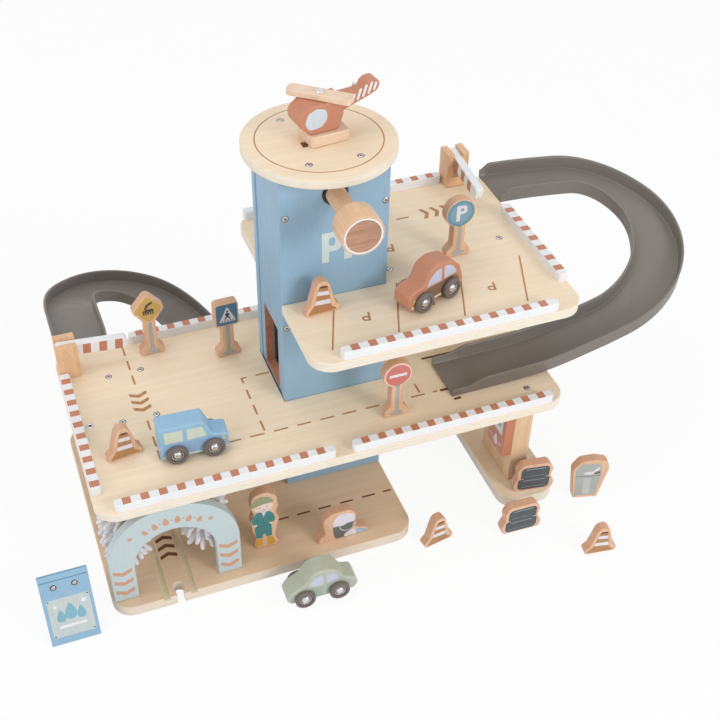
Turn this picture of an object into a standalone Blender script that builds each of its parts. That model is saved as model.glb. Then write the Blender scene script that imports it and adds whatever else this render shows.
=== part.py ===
"""Wooden toy parking garage: two decks round a lift tower, ramps, car wash, vehicles and signs.

Metres, +Z up. The origin is the centre of the base plate's underside. X runs along the front,
Y runs to the back. Every piece is one object, cut from board or turned, as the toy is made.
"""
import math

import bmesh
import bpy
from mathutils import Matrix, Vector

for stale in list(bpy.data.objects):
    bpy.data.objects.remove(stale, do_unlink=True)

# Clearances
GAP = 0.0003
RUNNING = 0.0004
EASE = 0.0006

# Base plate with its two rail grooves and the track notch
BASE_LENGTH = 0.300
BASE_DEPTH = 0.255
BASE_THICK = 0.0125
PLATE_CORNER = 0.020
RAIL_CENTRE = 0.0617
RAIL_SPACING = 0.026
RAIL_WIDTH = 0.006
RAIL_DEEP = 0.003
NOTCH_RADIUS = 0.0058
NOTCH_NECK = 0.007
NOTCH_REACH = 0.0095

# Decks
STOREY = 0.1178
DECK_THICK = 0.010
DECK_CORNER = 0.021
DECK_OVERHANG = 0.160
MID_DEPTH = 0.232
MID_SETBACK = 0.010
TOP_DEPTH = 0.2415
TOP_SETBACK = 0.0075

# Lift tower
TOWER_WIDTH = 0.1011
TOWER_DEPTH = 0.0827
TOWER_SETBACK = 0.0988
TOWER_HEIGHT = 0.3652
TOWER_PLY = 0.009
SIDE_INSET = 0.0012
DOOR_WIDTH = 0.0425
DOOR_HEIGHT = 0.0741
ROOF_RADIUS = 0.0684
ROOF_THICK = 0.009

# Winding gear and lift cage
CRANK_BELOW_ROOF = 0.0217
DOWEL_RADIUS = 0.009
KNOB_RADIUS = 0.019
KNOB_LENGTH = 0.024
KNOB_FACE = 0.0678
KNOB_BORE = 0.012
BUSH_RADIUS = 0.0112
BUSH_FLANGE = 0.0128
BUSH_FLANGE_THICK = 0.0012
DRUM_FLANGE = 0.0135
DRUM_FLANGE_THICK = 0.002
DRUM_WIDTH = 0.016
CORD_RADIUS = 0.001
CORD_TURNS = 3
CORD_PITCH = 0.0026
CORD_STEPS = 16
LIFT_CLEAR = 0.0014
LIFT_FLOOR_THICK = 0.004
LIFT_HEIGHT = 0.075
LIFT_POST = 0.005
LIFT_BEAM = 0.007
LIFT_FRAME_WIDTH = 0.030

# Kerbs: a square bar with rounded ends, and where each starts and how long it is
KERB = 0.009
KERB_END = 0.003
KERB_SUNK = 0.002
KERB_INSET = 0.001
LEFT_KERB_START = 0.0295
LEFT_KERB = 0.1695
FRONT_KERB_START = 0.017
FRONT_KERB = 0.202
SECOND_KERB_START = 0.2386
SECOND_KERB = 0.2051
BACK_KERB_START = 0.077
BACK_KERB = 0.202
TOP_FRONT_KERB_START = 0.0257
TOP_FRONT_KERB = 0.207
RIGHT_KERB_START = 0.046
RIGHT_KERB = 0.120
TOP_BACK_KERB_START = 0.0067
TOP_BACK_KERB = 0.211

# Barriers
CHEEK_WIDTH = 0.0205
CHEEK_THICK = 0.007
CHEEK_HEIGHT = 0.038
CHEEK_SLOT = 0.0093
ARM_THICK = 0.0085
ARM_TALL = 0.013
ARM_HEIGHT = 0.0225
ARM_REACH = 0.0595
LONG_ARM_REACH = 0.073
PIN_RADIUS = 0.002

# Ramps: a channel swept along a bend
RAMP_WIDTH = 0.054
RAMP_WALL = 0.0135
RAMP_WALL_THICK = 0.0022
RAMP_FLOOR = 0.0018
RAMP_DRAFT = 0.0022
RAMP_LEAD = 0.035
RAMP_STATIONS = 34
LUG_THICK = 0.0016
LUG_HEIGHT = 0.006
OUTER_LUG = 0.008
INNER_LUG = 0.003
LUG_ROOT = 0.004
RIGHT_RUN_IN = 0.080
RIGHT_BEND_LONG = 0.0776
RIGHT_BEND_WIDE = 0.0690
RIGHT_RUN_OUT = 0.186
RIGHT_RAMP_OFFSET = 0.035
LEFT_RUN_IN = 0.0646
LEFT_BEND_LONG = 0.0907
LEFT_BEND_WIDE = 0.0737
LEFT_RUN_OUT = 0.114
LEFT_RAMP_OFFSET = 0.0302

# Filling station
FUEL_WIDTH = 0.0608
FUEL_DEPTH = 0.243
PILLAR_WIDTH = 0.020
PILLAR_DEEP = 0.060
PILLAR_FRONT = 0.028
PILLAR_SPACING = 0.137
PILLAR_INSET = 0.0245
PUMP_THICK = 0.010
PUMP_DEEP = 0.033
PUMP_LOW = 0.0375
POST_SIDE = 0.020
POST_INSET = 0.0293

# Car wash
ARCH_LEFT = 0.0022
ARCH_WIDTH = 0.1226
ARCH_LEG = 0.0228
ARCH_THICK = 0.010
ARCH_FRONT = 0.0105
ARCH_SPRING = 0.0485
ARCH_INNER_SPRING = 0.0415
ARCH_MIDDLE = 0.1165
ARCH_REAR = 0.1845
MOP_SPREAD = 0.0372
MOP_SETBACK = 0.0465
MOP_RADIUS = 0.0243
MOP_HUB = 0.0072
MOP_TOP = 0.080
MOP_TIER = 0.0135
MOP_TIERS = 3
MOP_STRANDS = 14
MOP_DROP = 0.024
MOP_STRAND = 0.0044
SPINDLE_RADIUS = 0.003

# Vehicles and loose boards; their outlines are drawn in OUTLINE_UNIT
OUTLINE_UNIT = 0.001
CAR_WIDTH = 0.0205
CAR_EASE = 0.0018
WHEELBASE = 0.034
WHEEL_RADIUS = 0.010
WHEEL_THICK = 0.0052
WHEEL_GAP = 0.0006
AXLE_RADIUS = 0.0016
CUTOUT_THICK = 0.010
CUTOUT_EASE = 0.0009
BOARD_WIDTH = 0.0445
BOARD_LENGTH = 0.082
BOARD_THICK = 0.005
BOARD_AHEAD = 0.0092
BOARD_ASIDE = 0.040
BOARD_LEAN = math.radians(15)
HELI_TURN = 7.8
HELI_BLOCK_LENGTH = 0.0376
HELI_BLOCK_DEPTH = 0.029
HELI_BLOCK_THICK = 0.010
HELI_CABIN_DEPTH = 0.024
HELI_CABIN_FRONT = 0.0025
HELI_TAIL_DEPTH = 0.013
HELI_TOP = 0.0386
ROTOR_REACH = 0.030
ROTOR_WIDTH = 0.016
ROTOR_THICK = 0.0045
RIVET_RADIUS = 0.0016
RIVET_HEAD = 0.0042
RIVET_SUNK = 0.004
RIVET_DOME = 0.0013
ROTOR_AXIS = 0.0164
ROTOR_TURN = math.radians(-47)

# Worked-out planes and edges
LEFT = -BASE_LENGTH / 2
RIGHT = BASE_LENGTH / 2
FRONT = -BASE_DEPTH / 2
BACK = BASE_DEPTH / 2
MID_TOP = BASE_THICK + STOREY
TOP_TOP = MID_TOP + STOREY
ROOF_UNDER = BASE_THICK + TOWER_HEIGHT
ROOF_TOP = ROOF_UNDER + ROOF_THICK
CRANK_HEIGHT = ROOF_UNDER - CRANK_BELOW_ROOF
FAR_RIGHT = RIGHT + DECK_OVERHANG
MID_FRONT = FRONT + MID_SETBACK
MID_BACK = MID_FRONT + MID_DEPTH
TOP_FRONT = FRONT + TOP_SETBACK
TOP_BACK = TOP_FRONT + TOP_DEPTH
TOWER_LEFT = RIGHT - TOWER_WIDTH
TOWER_FRONT = FRONT + TOWER_SETBACK
TOWER_BACK = TOWER_FRONT + TOWER_DEPTH
TOWER_X = (TOWER_LEFT + RIGHT) / 2
TOWER_Y = (TOWER_FRONT + TOWER_BACK) / 2
SHAFT_LEFT = TOWER_LEFT + SIDE_INSET + TOWER_PLY
SHAFT_RIGHT = RIGHT - SIDE_INSET - TOWER_PLY
SHAFT_FRONT = TOWER_FRONT + TOWER_PLY
SHAFT_BACK = TOWER_BACK - TOWER_PLY
WINDING_RADIUS = DOWEL_RADIUS + GAP + CORD_RADIUS

PALETTE = {
    "birch": ((0.80, 0.66, 0.47), 0.55, 0.0),
    "beech": ((0.68, 0.42, 0.24), 0.50, 0.0),
    "tower_blue": ((0.27, 0.42, 0.54), 0.45, 0.0),
    "white": ((0.86, 0.86, 0.85), 0.45, 0.0),
    "mint": ((0.52, 0.62, 0.61), 0.45, 0.0),
    "terracotta": ((0.56, 0.21, 0.12), 0.45, 0.0),
    "sky": ((0.32, 0.52, 0.68), 0.40, 0.0),
    "sage": ((0.41, 0.45, 0.33), 0.40, 0.0),
    "cotton": ((0.88, 0.87, 0.90), 0.90, 0.0),
    "grey_plastic": ((0.21, 0.19, 0.17), 0.45, 0.0),
    "black": ((0.02, 0.02, 0.02), 0.40, 0.0),
    "tyre": ((0.10, 0.08, 0.07), 0.70, 0.0),
    "steel": ((0.62, 0.62, 0.62), 0.25, 1.0),
    "cord": ((0.70, 0.62, 0.50), 0.85, 0.0),
}


def paint(thing, colour):
    """Give the object a material of its own."""
    base, roughness, metallic = PALETTE[colour]
    material = bpy.data.materials.new(thing.name + "_" + colour)
    material.use_nodes = True
    shader = material.node_tree.nodes["Principled BSDF"]
    shader.inputs["Base Color"].default_value = (*base, 1.0)
    shader.inputs["Roughness"].default_value = roughness
    shader.inputs["Metallic"].default_value = metallic
    thing.data.materials.append(material)


def finish(name, mesh, colour, frame=Matrix.Identity(4), ease=0.0, steps=1, smooth=None):
    """Turn a bmesh into a placed, painted object, with its sharp edges eased."""
    bmesh.ops.remove_doubles(mesh, verts=mesh.verts, dist=1e-6)
    bmesh.ops.recalc_face_normals(mesh, faces=mesh.faces)
    data = bpy.data.meshes.new(name)
    mesh.to_mesh(data)
    mesh.free()
    thing = bpy.data.objects.new(name, data)
    bpy.context.collection.objects.link(thing)
    thing.matrix_world = frame
    paint(thing, colour)
    if smooth is not None:
        data.shade_smooth()
        data.set_sharp_from_angle(angle=math.radians(smooth))
    if ease:
        bevel = thing.modifiers.new("eased edges", "BEVEL")
        bevel.width = ease
        bevel.segments = steps
        bevel.limit_method = "ANGLE"
        bevel.angle_limit = math.radians(40)
    return thing


def at(x, y, z):
    return Matrix.Translation((x, y, z))


def standing(x, y, z, degrees=0.0):
    """Frame of a board that stands up: u along it, v up, w towards the front."""
    turn = math.radians(degrees)
    along = Vector((math.cos(turn), math.sin(turn), 0.0))
    up = Vector((0.0, 0.0, 1.0))
    out = along.cross(up)
    frame = Matrix((along, up, out)).transposed().to_4x4()
    frame.translation = (x, y, z)
    return frame


def sideways(x, y, z):
    """Frame of a board seen from the right: u to the back, v up, w to the right."""
    return standing(x, y, z, 90.0)


def arc(centre, radius, start, end, steps):
    """Points along an arc, angles in degrees, both ends included."""
    points = []
    for step in range(steps + 1):
        turn = math.radians(start + (end - start) * step / steps)
        points.append((centre[0] + radius * math.cos(turn), centre[1] + radius * math.sin(turn)))
    return points


def circle(centre, radius, steps=20):
    return arc(centre, radius, 0.0, 360.0 * (steps - 1) / steps, steps - 1)


def rounded(corners, steps=5):
    """Outline through corners (u, v, radius), each corner turned by a tangent arc."""
    outline = []
    count = len(corners)
    for index, (u, v, radius) in enumerate(corners):
        here = Vector((u, v))
        before = Vector(corners[index - 1][:2]) - here
        after = Vector(corners[(index + 1) % count][:2]) - here
        if radius <= 0.0:
            outline.append((u, v))
            continue
        half = before.angle(after) / 2
        reach = min(radius / math.tan(half), 0.49 * before.length, 0.49 * after.length)
        start = here + before.normalized() * reach
        end = here + after.normalized() * reach
        for step in range(steps + 1):
            t = step / steps
            outline.append(tuple(arc_between(start, here, end, half, t)))
    return outline


def arc_between(start, corner, end, half, t):
    """Point on the circular arc that leaves start towards corner and arrives at end."""
    middle = (start + end) / 2
    outward = corner - middle
    centre = corner - outward.normalized() * ((start - corner).length / math.cos(half))
    sweep = math.pi / 2 - half
    first = start - centre
    side = 1.0 if first.x * (end - centre).y - first.y * (end - centre).x > 0 else -1.0
    turn = 2 * sweep * t * side
    spin = Matrix.Rotation(turn, 2)
    return centre + spin @ first


def box_outline(low_u, low_v, high_u, high_v, radius=0.0, steps=5):
    corners = [(low_u, low_v), (high_u, low_v), (high_u, high_v), (low_u, high_v)]
    return rounded([(u, v, radius) for u, v in corners], steps)


def add_slab(mesh, outline, low, high, holes=()):
    """Thicken an outline with holes, drawn in u and v, from w = low to w = high."""
    edges = []
    for loop in [outline, *holes]:
        verts = [mesh.verts.new((u, v, low)) for u, v in loop]
        for index, vert in enumerate(verts):
            edges.append(mesh.edges.new((vert, verts[(index + 1) % len(verts)])))
    filled = bmesh.ops.triangle_fill(mesh, edges=edges, use_beauty=True)
    faces = [item for item in filled["geom"] if isinstance(item, bmesh.types.BMFace)]
    lifted = bmesh.ops.extrude_face_region(mesh, geom=faces, use_keep_orig=True)
    raised = [item for item in lifted["geom"] if isinstance(item, bmesh.types.BMVert)]
    bmesh.ops.translate(mesh, vec=(0.0, 0.0, high - low), verts=raised)


def slab(name, colour, frame, outline, low, high, holes=(), ease=EASE, steps=1):
    mesh = bmesh.new()
    add_slab(mesh, outline, low, high, holes)
    return finish(name, mesh, colour, frame, ease, steps)


def turned(name, colour, frame, profiles, sides=24, smooth=35):
    """Bodies of revolution about w, each from (radius, w) points that start and end on the axis
    or close on themselves."""
    mesh = bmesh.new()
    for profile in profiles:
        add_turned(mesh, profile, sides)
    return finish(name, mesh, colour, frame, smooth=smooth)


def add_turned(mesh, profile, sides):
    verts = [mesh.verts.new((radius, 0.0, height)) for radius, height in profile]
    edges = [mesh.edges.new(pair) for pair in zip(verts, verts[1:])]
    if profile[0][0] > 0.0:
        edges.append(mesh.edges.new((verts[-1], verts[0])))
    bmesh.ops.spin(mesh, geom=verts + edges, cent=(0, 0, 0), axis=(0, 0, 1),
                   angle=math.tau, steps=sides, use_merge=True)


def combine(thing, operand, operation):
    """Join the operand to the object (UNION) or take its volume out (DIFFERENCE)."""
    operand.hide_render = True
    operand.display_type = "WIRE"
    change = thing.modifiers.new(operand.name, "BOOLEAN")
    change.operation = operation
    change.object = operand
    change.solver = "EXACT"


def operand_of(name, outlines, low, high, frame=Matrix.Identity(4), ease=0.0):
    """Helper shape for combine: slabs of one thickness, with their edges eased."""
    mesh = bmesh.new()
    for outline in outlines:
        add_slab(mesh, outline, low, high)
    return finish(name, mesh, "white", frame, ease)


def build_plates():
    """Base plate with track notches at both ends and rail grooves, and the fuel station's plate."""
    rail_x = LEFT + RAIL_CENTRE
    half = NOTCH_NECK / 2
    mouth = math.degrees(math.asin(half / NOTCH_RADIUS))
    front = arc((rail_x, FRONT + NOTCH_REACH), NOTCH_RADIUS, 270 - mouth, -90 + mouth, 12)
    back = arc((rail_x, BACK - NOTCH_REACH), NOTCH_RADIUS, 90 - mouth, -270 + mouth, 12)
    corner = PLATE_CORNER
    outline = (
        arc((LEFT + corner, FRONT + corner), corner, 180, 270, 6)
        + [(rail_x - half, FRONT)] + front + [(rail_x + half, FRONT)]
        + arc((RIGHT - corner, FRONT + corner), corner, -90, 0, 6)
        + arc((RIGHT - corner, BACK - corner), corner, 0, 90, 6)
        + [(rail_x + half, BACK)] + back + [(rail_x - half, BACK)]
        + arc((LEFT + corner, BACK - corner), corner, 90, 180, 6)
    )
    base = slab("base_plate", "birch", at(0, 0, 0), outline, 0.0, BASE_THICK)
    grooves = []
    for side in (-1, 1):
        centre = rail_x + side * RAIL_SPACING / 2
        grooves.append(box_outline(centre - RAIL_WIDTH / 2, FRONT - RAIL_WIDTH,
                                   centre + RAIL_WIDTH / 2, BACK + RAIL_WIDTH))
    cutter = operand_of("rail_grooves", grooves, BASE_THICK - RAIL_DEEP, BASE_THICK + RAIL_DEEP)
    combine(base, cutter, "DIFFERENCE")
    plate = box_outline(FAR_RIGHT - FUEL_WIDTH, FRONT, FAR_RIGHT, FRONT + FUEL_DEPTH,
                        PLATE_CORNER, 6)
    slab("fuel_base_plate", "birch", at(0, 0, 0), plate, 0.0, BASE_THICK)


def build_decks():
    """Middle deck with a closed hole for the tower, top deck notched round it."""
    hole = [(TOWER_LEFT - GAP, TOWER_FRONT - GAP), (RIGHT + GAP, TOWER_FRONT - GAP),
            (RIGHT + GAP, TOWER_BACK + GAP), (TOWER_LEFT - GAP, TOWER_BACK + GAP)]
    mid = box_outline(LEFT, MID_FRONT, FAR_RIGHT, MID_BACK, DECK_CORNER, 6)
    deck = slab("mid_deck", "birch", at(0, 0, 0), mid, MID_TOP - DECK_THICK, MID_TOP, [hole])
    combine(deck, mid_kerbs(), "UNION")
    corner = DECK_CORNER
    left = TOWER_LEFT
    top = (
        arc((left + corner, TOP_FRONT + corner), corner, 180, 270, 6)
        + arc((FAR_RIGHT - corner, TOP_FRONT + corner), corner, -90, 0, 6)
        + arc((FAR_RIGHT - corner, TOP_BACK - corner), corner, 0, 90, 6)
        + arc((left + corner, TOP_BACK - corner), corner, 90, 180, 6)
        + [(left, TOWER_BACK + GAP), (RIGHT + GAP, TOWER_BACK + GAP),
           (RIGHT + GAP, TOWER_FRONT - GAP), (left, TOWER_FRONT - GAP)]
    )
    deck = slab("top_deck", "birch", at(0, 0, 0), top, TOP_TOP - DECK_THICK, TOP_TOP)
    combine(deck, top_kerbs(), "UNION")


def build_tower():
    """Four panels, the round roof, and doorways level with each storey's floor."""
    low = BASE_THICK + GAP
    high = ROOF_UNDER - GAP
    crank = (TOWER_X, CRANK_HEIGHT)
    wall = box_outline(TOWER_LEFT, low, RIGHT, high)
    slab("tower_front", "tower_blue", standing(0, TOWER_FRONT, 0), wall, -TOWER_PLY, 0.0,
         [circle(crank, BUSH_RADIUS + GAP)])
    slab("tower_back", "tower_blue", standing(0, TOWER_BACK, 0), wall, 0.0, TOWER_PLY,
         [circle(crank, DOWEL_RADIUS + RUNNING)])
    door_low = TOWER_Y - DOOR_WIDTH / 2
    door_high = TOWER_Y + DOOR_WIDTH / 2
    inner_front = SHAFT_FRONT + GAP
    inner_back = SHAFT_BACK - GAP
    left_wall = [(inner_front, low), (door_low, low), (door_low, BASE_THICK + DOOR_HEIGHT),
                 (door_high, BASE_THICK + DOOR_HEIGHT), (door_high, low), (inner_back, low),
                 (inner_back, high), (inner_front, high)]
    mid_door = box_outline(door_low, MID_TOP, door_high, MID_TOP + DOOR_HEIGHT)
    slab("tower_left", "tower_blue", sideways(TOWER_LEFT + SIDE_INSET, 0, 0), left_wall,
         0.0, TOWER_PLY, [mid_door])
    right_wall = box_outline(inner_front, low, inner_back, high)
    top_door = box_outline(door_low, TOP_TOP, door_high, TOP_TOP + DOOR_HEIGHT)
    slab("tower_right", "tower_blue", sideways(SHAFT_RIGHT, 0, 0), right_wall,
         0.0, TOWER_PLY, [top_door])
    slab("roof_disc", "birch", at(TOWER_X, TOWER_Y, 0), circle((0, 0), ROOF_RADIUS, 44),
         ROOF_UNDER, ROOF_TOP)


def kerb_bars(name, deck_top, places):
    """Striped bars glued along a deck's edges, from (x, y, length along x, length along y)."""
    outlines = [box_outline(x, y, x + length_x, y + length_y, KERB_END, 3)
                for x, y, length_x, length_y in places]
    return operand_of(name, outlines, deck_top - KERB_SUNK, deck_top + KERB, ease=EASE)


def mid_kerbs():
    front = MID_FRONT + KERB_INSET
    back = MID_BACK - KERB_INSET - KERB
    return kerb_bars("mid_kerbs", MID_TOP, (
        (LEFT + KERB_INSET, FRONT + LEFT_KERB_START, KERB, LEFT_KERB),
        (LEFT + FRONT_KERB_START, front, FRONT_KERB, KERB),
        (LEFT + SECOND_KERB_START, front, SECOND_KERB, KERB),
        (LEFT + BACK_KERB_START, back, BACK_KERB, KERB),
    ))


def top_kerbs():
    return kerb_bars("top_kerbs", TOP_TOP, (
        (TOWER_LEFT + TOP_FRONT_KERB_START, TOP_FRONT + KERB_INSET, TOP_FRONT_KERB, KERB),
        (FAR_RIGHT - KERB_INSET - KERB, FRONT + RIGHT_KERB_START, KERB, RIGHT_KERB),
        (TOWER_LEFT + TOP_BACK_KERB_START, TOP_BACK - KERB_INSET - KERB, TOP_BACK_KERB, KERB),
    ))


# The short barrier crosses the left ramp's head, the long one the right ramp's
SHORT_BARRIER = (LEFT + 0.01225, MID_BACK - 0.030)
LONG_BARRIER = (FAR_RIGHT - 0.0306, TOP_BACK - 0.01075)


def barrier_frames():
    """Frames of both barriers: u along the arm, v up from the deck, w along the pin."""
    short = standing(SHORT_BARRIER[0], SHORT_BARRIER[1], MID_TOP)
    long = standing(LONG_BARRIER[0], LONG_BARRIER[1], TOP_TOP, -90.0)
    return short, long


def build_barriers():
    """A stand of two cheeks with the pin pressed through them, and an arm that swings on it."""
    half_slot = CHEEK_SLOT / 2
    half_width = CHEEK_WIDTH / 2
    cheek = box_outline(-half_width, GAP, half_width, CHEEK_HEIGHT)
    outside = half_slot + CHEEK_THICK
    short, long = barrier_frames()
    for name, frame, reach in (("left_barrier", short, ARM_REACH),
                               ("upper_barrier", long, LONG_ARM_REACH)):
        stand = slab(name + "_stand", "beech", frame, cheek, half_slot, outside)
        other = operand_of(name + "_other_cheek", [cheek], -outside, -half_slot, frame, EASE)
        combine(stand, other, "UNION")
        pin = operand_of(name + "_pin", [circle((0.0, ARM_HEIGHT), PIN_RADIUS, 12)],
                         -outside + EASE, outside - EASE, frame)
        combine(stand, pin, "UNION")
        build_barrier_arm(name + "_arm", frame, reach)


def build_barrier_arm(name, frame, reach):
    """A bar with rounded ends; its origin lies on the pin."""
    heel = -CHEEK_WIDTH / 2 + EASE
    tall = ARM_TALL / 2
    outline = rounded([(heel, -tall, tall * 0.45), (reach, -tall, tall * 0.6),
                       (reach, tall, tall * 0.6), (heel, tall, tall * 0.45)], 3)
    hole = circle((0.0, 0.0), PIN_RADIUS + RUNNING, 12)
    pivot = frame @ at(0.0, ARM_HEIGHT, 0.0)
    slab(name, "white", pivot, outline, -ARM_THICK / 2, ARM_THICK / 2, [hole])


# Share of a ramp's drop reached at equal steps of its length
RIGHT_FALL = (0.0, 0.053, 0.265, 0.573, 0.844, 0.985, 1.0)
LEFT_FALL = (0.0, 0.068, 0.325, 0.627, 0.931, 0.997, 1.0)


def fall_at(shares, t):
    """Smooth curve through the ramp's shares of its drop, never climbing again."""
    place = min(max(t, 0.0), 1.0) * (len(shares) - 1)
    index = min(int(place), len(shares) - 2)
    local = place - index
    slopes = []
    for knot in (index, index + 1):
        if knot in (0, len(shares) - 1):
            slopes.append(0.0)
            continue
        before = shares[knot] - shares[knot - 1]
        after = shares[knot + 1] - shares[knot]
        slopes.append(2 * before * after / (before + after) if before * after > 0 else 0.0)
    square = local * local
    cube = square * local
    return (shares[index] * (2 * cube - 3 * square + 1)
            + shares[index + 1] * (3 * square - 2 * cube)
            + slopes[0] * (cube - 2 * square + local) + slopes[1] * (cube - square))


def ramp_path(run_in, bend_long, bend_wide, run_out, count):
    """Plan points and headings of a ramp that sets off along +u and turns back to its right."""
    raw = [(run_in * step / 12, 0.0) for step in range(12)]
    for step in range(61):
        turn = math.pi * step / 60
        raw.append((run_in + bend_long * math.sin(turn), bend_wide * (math.cos(turn) - 1.0)))
    raw += [(run_in - run_out * step / 24, -2 * bend_wide) for step in range(1, 25)]
    reach = [0.0]
    for before, after in zip(raw, raw[1:]):
        reach.append(reach[-1] + math.dist(before, after))
    points = []
    place = 0
    for step in range(count + 1):
        target = reach[-1] * step / count
        while place < len(raw) - 2 and reach[place + 1] < target:
            place += 1
        share = (target - reach[place]) / (reach[place + 1] - reach[place])
        u = raw[place][0] + (raw[place + 1][0] - raw[place][0]) * share
        v = raw[place][1] + (raw[place + 1][1] - raw[place][1]) * share
        points.append((u, v, target))
    return points, reach[-1]


def build_ramp(name, frame, run, shares, start_z, end_z):
    """Channel with walls that drop away at both ends, and lugs that hang on the deck's edge."""
    points, length = ramp_path(*run, RAMP_STATIONS)
    mesh = bmesh.new()
    rings = []
    for index, (u, v, reach) in enumerate(points):
        ahead = points[min(index + 1, len(points) - 1)]
        behind = points[max(index - 1, 0)]
        heading = Vector((ahead[0] - behind[0], ahead[1] - behind[1])).normalized()
        across = Vector((-heading.y, heading.x))
        floor = start_z + (end_z - start_z) * fall_at(shares, reach / length)
        lead = min(reach, length - reach) / RAMP_LEAD
        wall = RAMP_WALL * min(1.0, 0.5 + 0.5 * lead)
        rings.append([
            mesh.verts.new((u + across.x * side, v + across.y * side, floor + height))
            for side, height in ramp_section(wall)
        ])
    for before, after in zip(rings, rings[1:]):
        for side in range(len(before)):
            following = (side + 1) % len(before)
            mesh.faces.new((before[side], before[following], after[following], after[side]))
    for ring in (rings[0], rings[-1]):
        mesh.faces.new(ring)
    ramp = finish(name, mesh, "grey_plastic", frame, smooth=40)
    middle = (RAMP_WIDTH - RAMP_WALL_THICK) / 2
    for side, reach in ((1, OUTER_LUG), (-1, INNER_LUG)):
        plan = box_outline(-reach, side * middle - LUG_THICK / 2,
                           LUG_ROOT, side * middle + LUG_THICK / 2)
        lug = operand_of(name + "_lug", [plan], start_z + GAP, start_z + LUG_HEIGHT, frame)
        combine(ramp, lug, "UNION")


def ramp_section(wall):
    """Closed cross-section of the channel: (sideways, height over the floor's top)."""
    half = RAMP_WIDTH / 2
    inner = half - RAMP_WALL_THICK
    foot = inner - RAMP_DRAFT
    low = -RAMP_FLOOR
    right = [(half, wall), (inner, wall), (foot, 0.0)]
    left = [(-side, height) for side, height in reversed(right)]
    return [(half, low)] + right + left + [(-half, low)]


def build_ramps():
    """The right ramp joins the decks, the left one the middle deck and the base plate."""
    landing = RAMP_FLOOR + GAP
    right_frame = at(FAR_RIGHT + GAP, TOP_BACK - RIGHT_RAMP_OFFSET, 0)
    build_ramp("right_ramp", right_frame,
               (RIGHT_RUN_IN, RIGHT_BEND_LONG, RIGHT_BEND_WIDE, RIGHT_RUN_OUT),
               RIGHT_FALL, TOP_TOP, MID_TOP + landing)
    left_frame = at(LEFT + LEFT_RAMP_OFFSET, MID_BACK + GAP, 0) @ Matrix.Rotation(math.pi / 2, 4, "Z")
    build_ramp("left_ramp", left_frame,
               (LEFT_RUN_IN, LEFT_BEND_LONG, LEFT_BEND_WIDE, LEFT_RUN_OUT),
               LEFT_FALL, MID_TOP, BASE_THICK + landing)


def build_fuel_station():
    """Two board pillars, the pump on the front one, and the post under the top deck's right side."""
    low = BASE_THICK + GAP
    high = MID_TOP - DECK_THICK - GAP
    pillar_right = FAR_RIGHT - PILLAR_INSET
    pillar_left = pillar_right - PILLAR_WIDTH
    for step, name in enumerate(("front_fuel_pillar", "rear_fuel_pillar")):
        y = FRONT + PILLAR_FRONT + step * PILLAR_SPACING
        slab(name, "birch", at(0, 0, 0),
             box_outline(pillar_left, y, pillar_right, y + PILLAR_DEEP), low, high)
    pump = box_outline(FRONT + PILLAR_FRONT, low + PUMP_LOW, FRONT + PILLAR_FRONT + PUMP_DEEP, high)
    slab("fuel_pump", "terracotta", sideways(pillar_left - GAP, 0, 0), pump, -PUMP_THICK, 0.0)
    post_x = FAR_RIGHT - POST_INSET
    half = POST_SIDE / 2
    slab("top_deck_post", "birch", at(post_x, TOWER_Y, 0), box_outline(-half, -half, half, half),
         MID_TOP + GAP, TOP_TOP - DECK_THICK - GAP)


def build_wash():
    """Three arches, two hanging spindles and the cotton mops that turn on them."""
    low = GAP
    high = STOREY - DECK_THICK - GAP
    half = ARCH_WIDTH / 2
    inner = half - ARCH_LEG
    top = math.degrees(math.asin((high - ARCH_SPRING) / half))
    outline = (
        [(half, low)] + arc((0, ARCH_SPRING), half, 0, top, 9)
        + arc((0, ARCH_SPRING), half, 180 - top, 180, 9) + [(-half, low), (-inner, low)]
        + arc((0, ARCH_INNER_SPRING), inner, 180, 0, 16) + [(inner, low)]
    )
    centre = LEFT + ARCH_LEFT + half
    for name, setback in (("front", ARCH_FRONT), ("middle", ARCH_MIDDLE), ("rear", ARCH_REAR)):
        slab("wash_arch_" + name, "mint", standing(centre, FRONT + setback, BASE_THICK), outline,
             -ARCH_THICK, 0.0)
    deck_under = MID_TOP - DECK_THICK
    spindle_x = [LEFT + RAIL_CENTRE + side * MOP_SPREAD for side in (-1, 1)]
    spindle_y = FRONT + MOP_SETBACK
    for side, x in zip(("left", "right"), spindle_x):
        turned(side + "_wash_spindle", "beech", at(x, spindle_y, 0),
               [spindle_profile(deck_under)], 20)
        build_mop(side + "_wash_mop", x, spindle_y)


def spindle_profile(deck_under):
    """A dowel under the deck with a collar at its foot that holds the mop up."""
    hub_low = BASE_THICK + MOP_TOP - MOP_TIER * MOP_TIERS
    collar = SPINDLE_RADIUS * 1.8
    return [(0.0, deck_under - GAP), (SPINDLE_RADIUS, deck_under - GAP),
            (SPINDLE_RADIUS, hub_low - GAP), (collar, hub_low - GAP),
            (collar, hub_low - SPINDLE_RADIUS - GAP), (0.0, hub_low - SPINDLE_RADIUS - GAP)]


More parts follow.
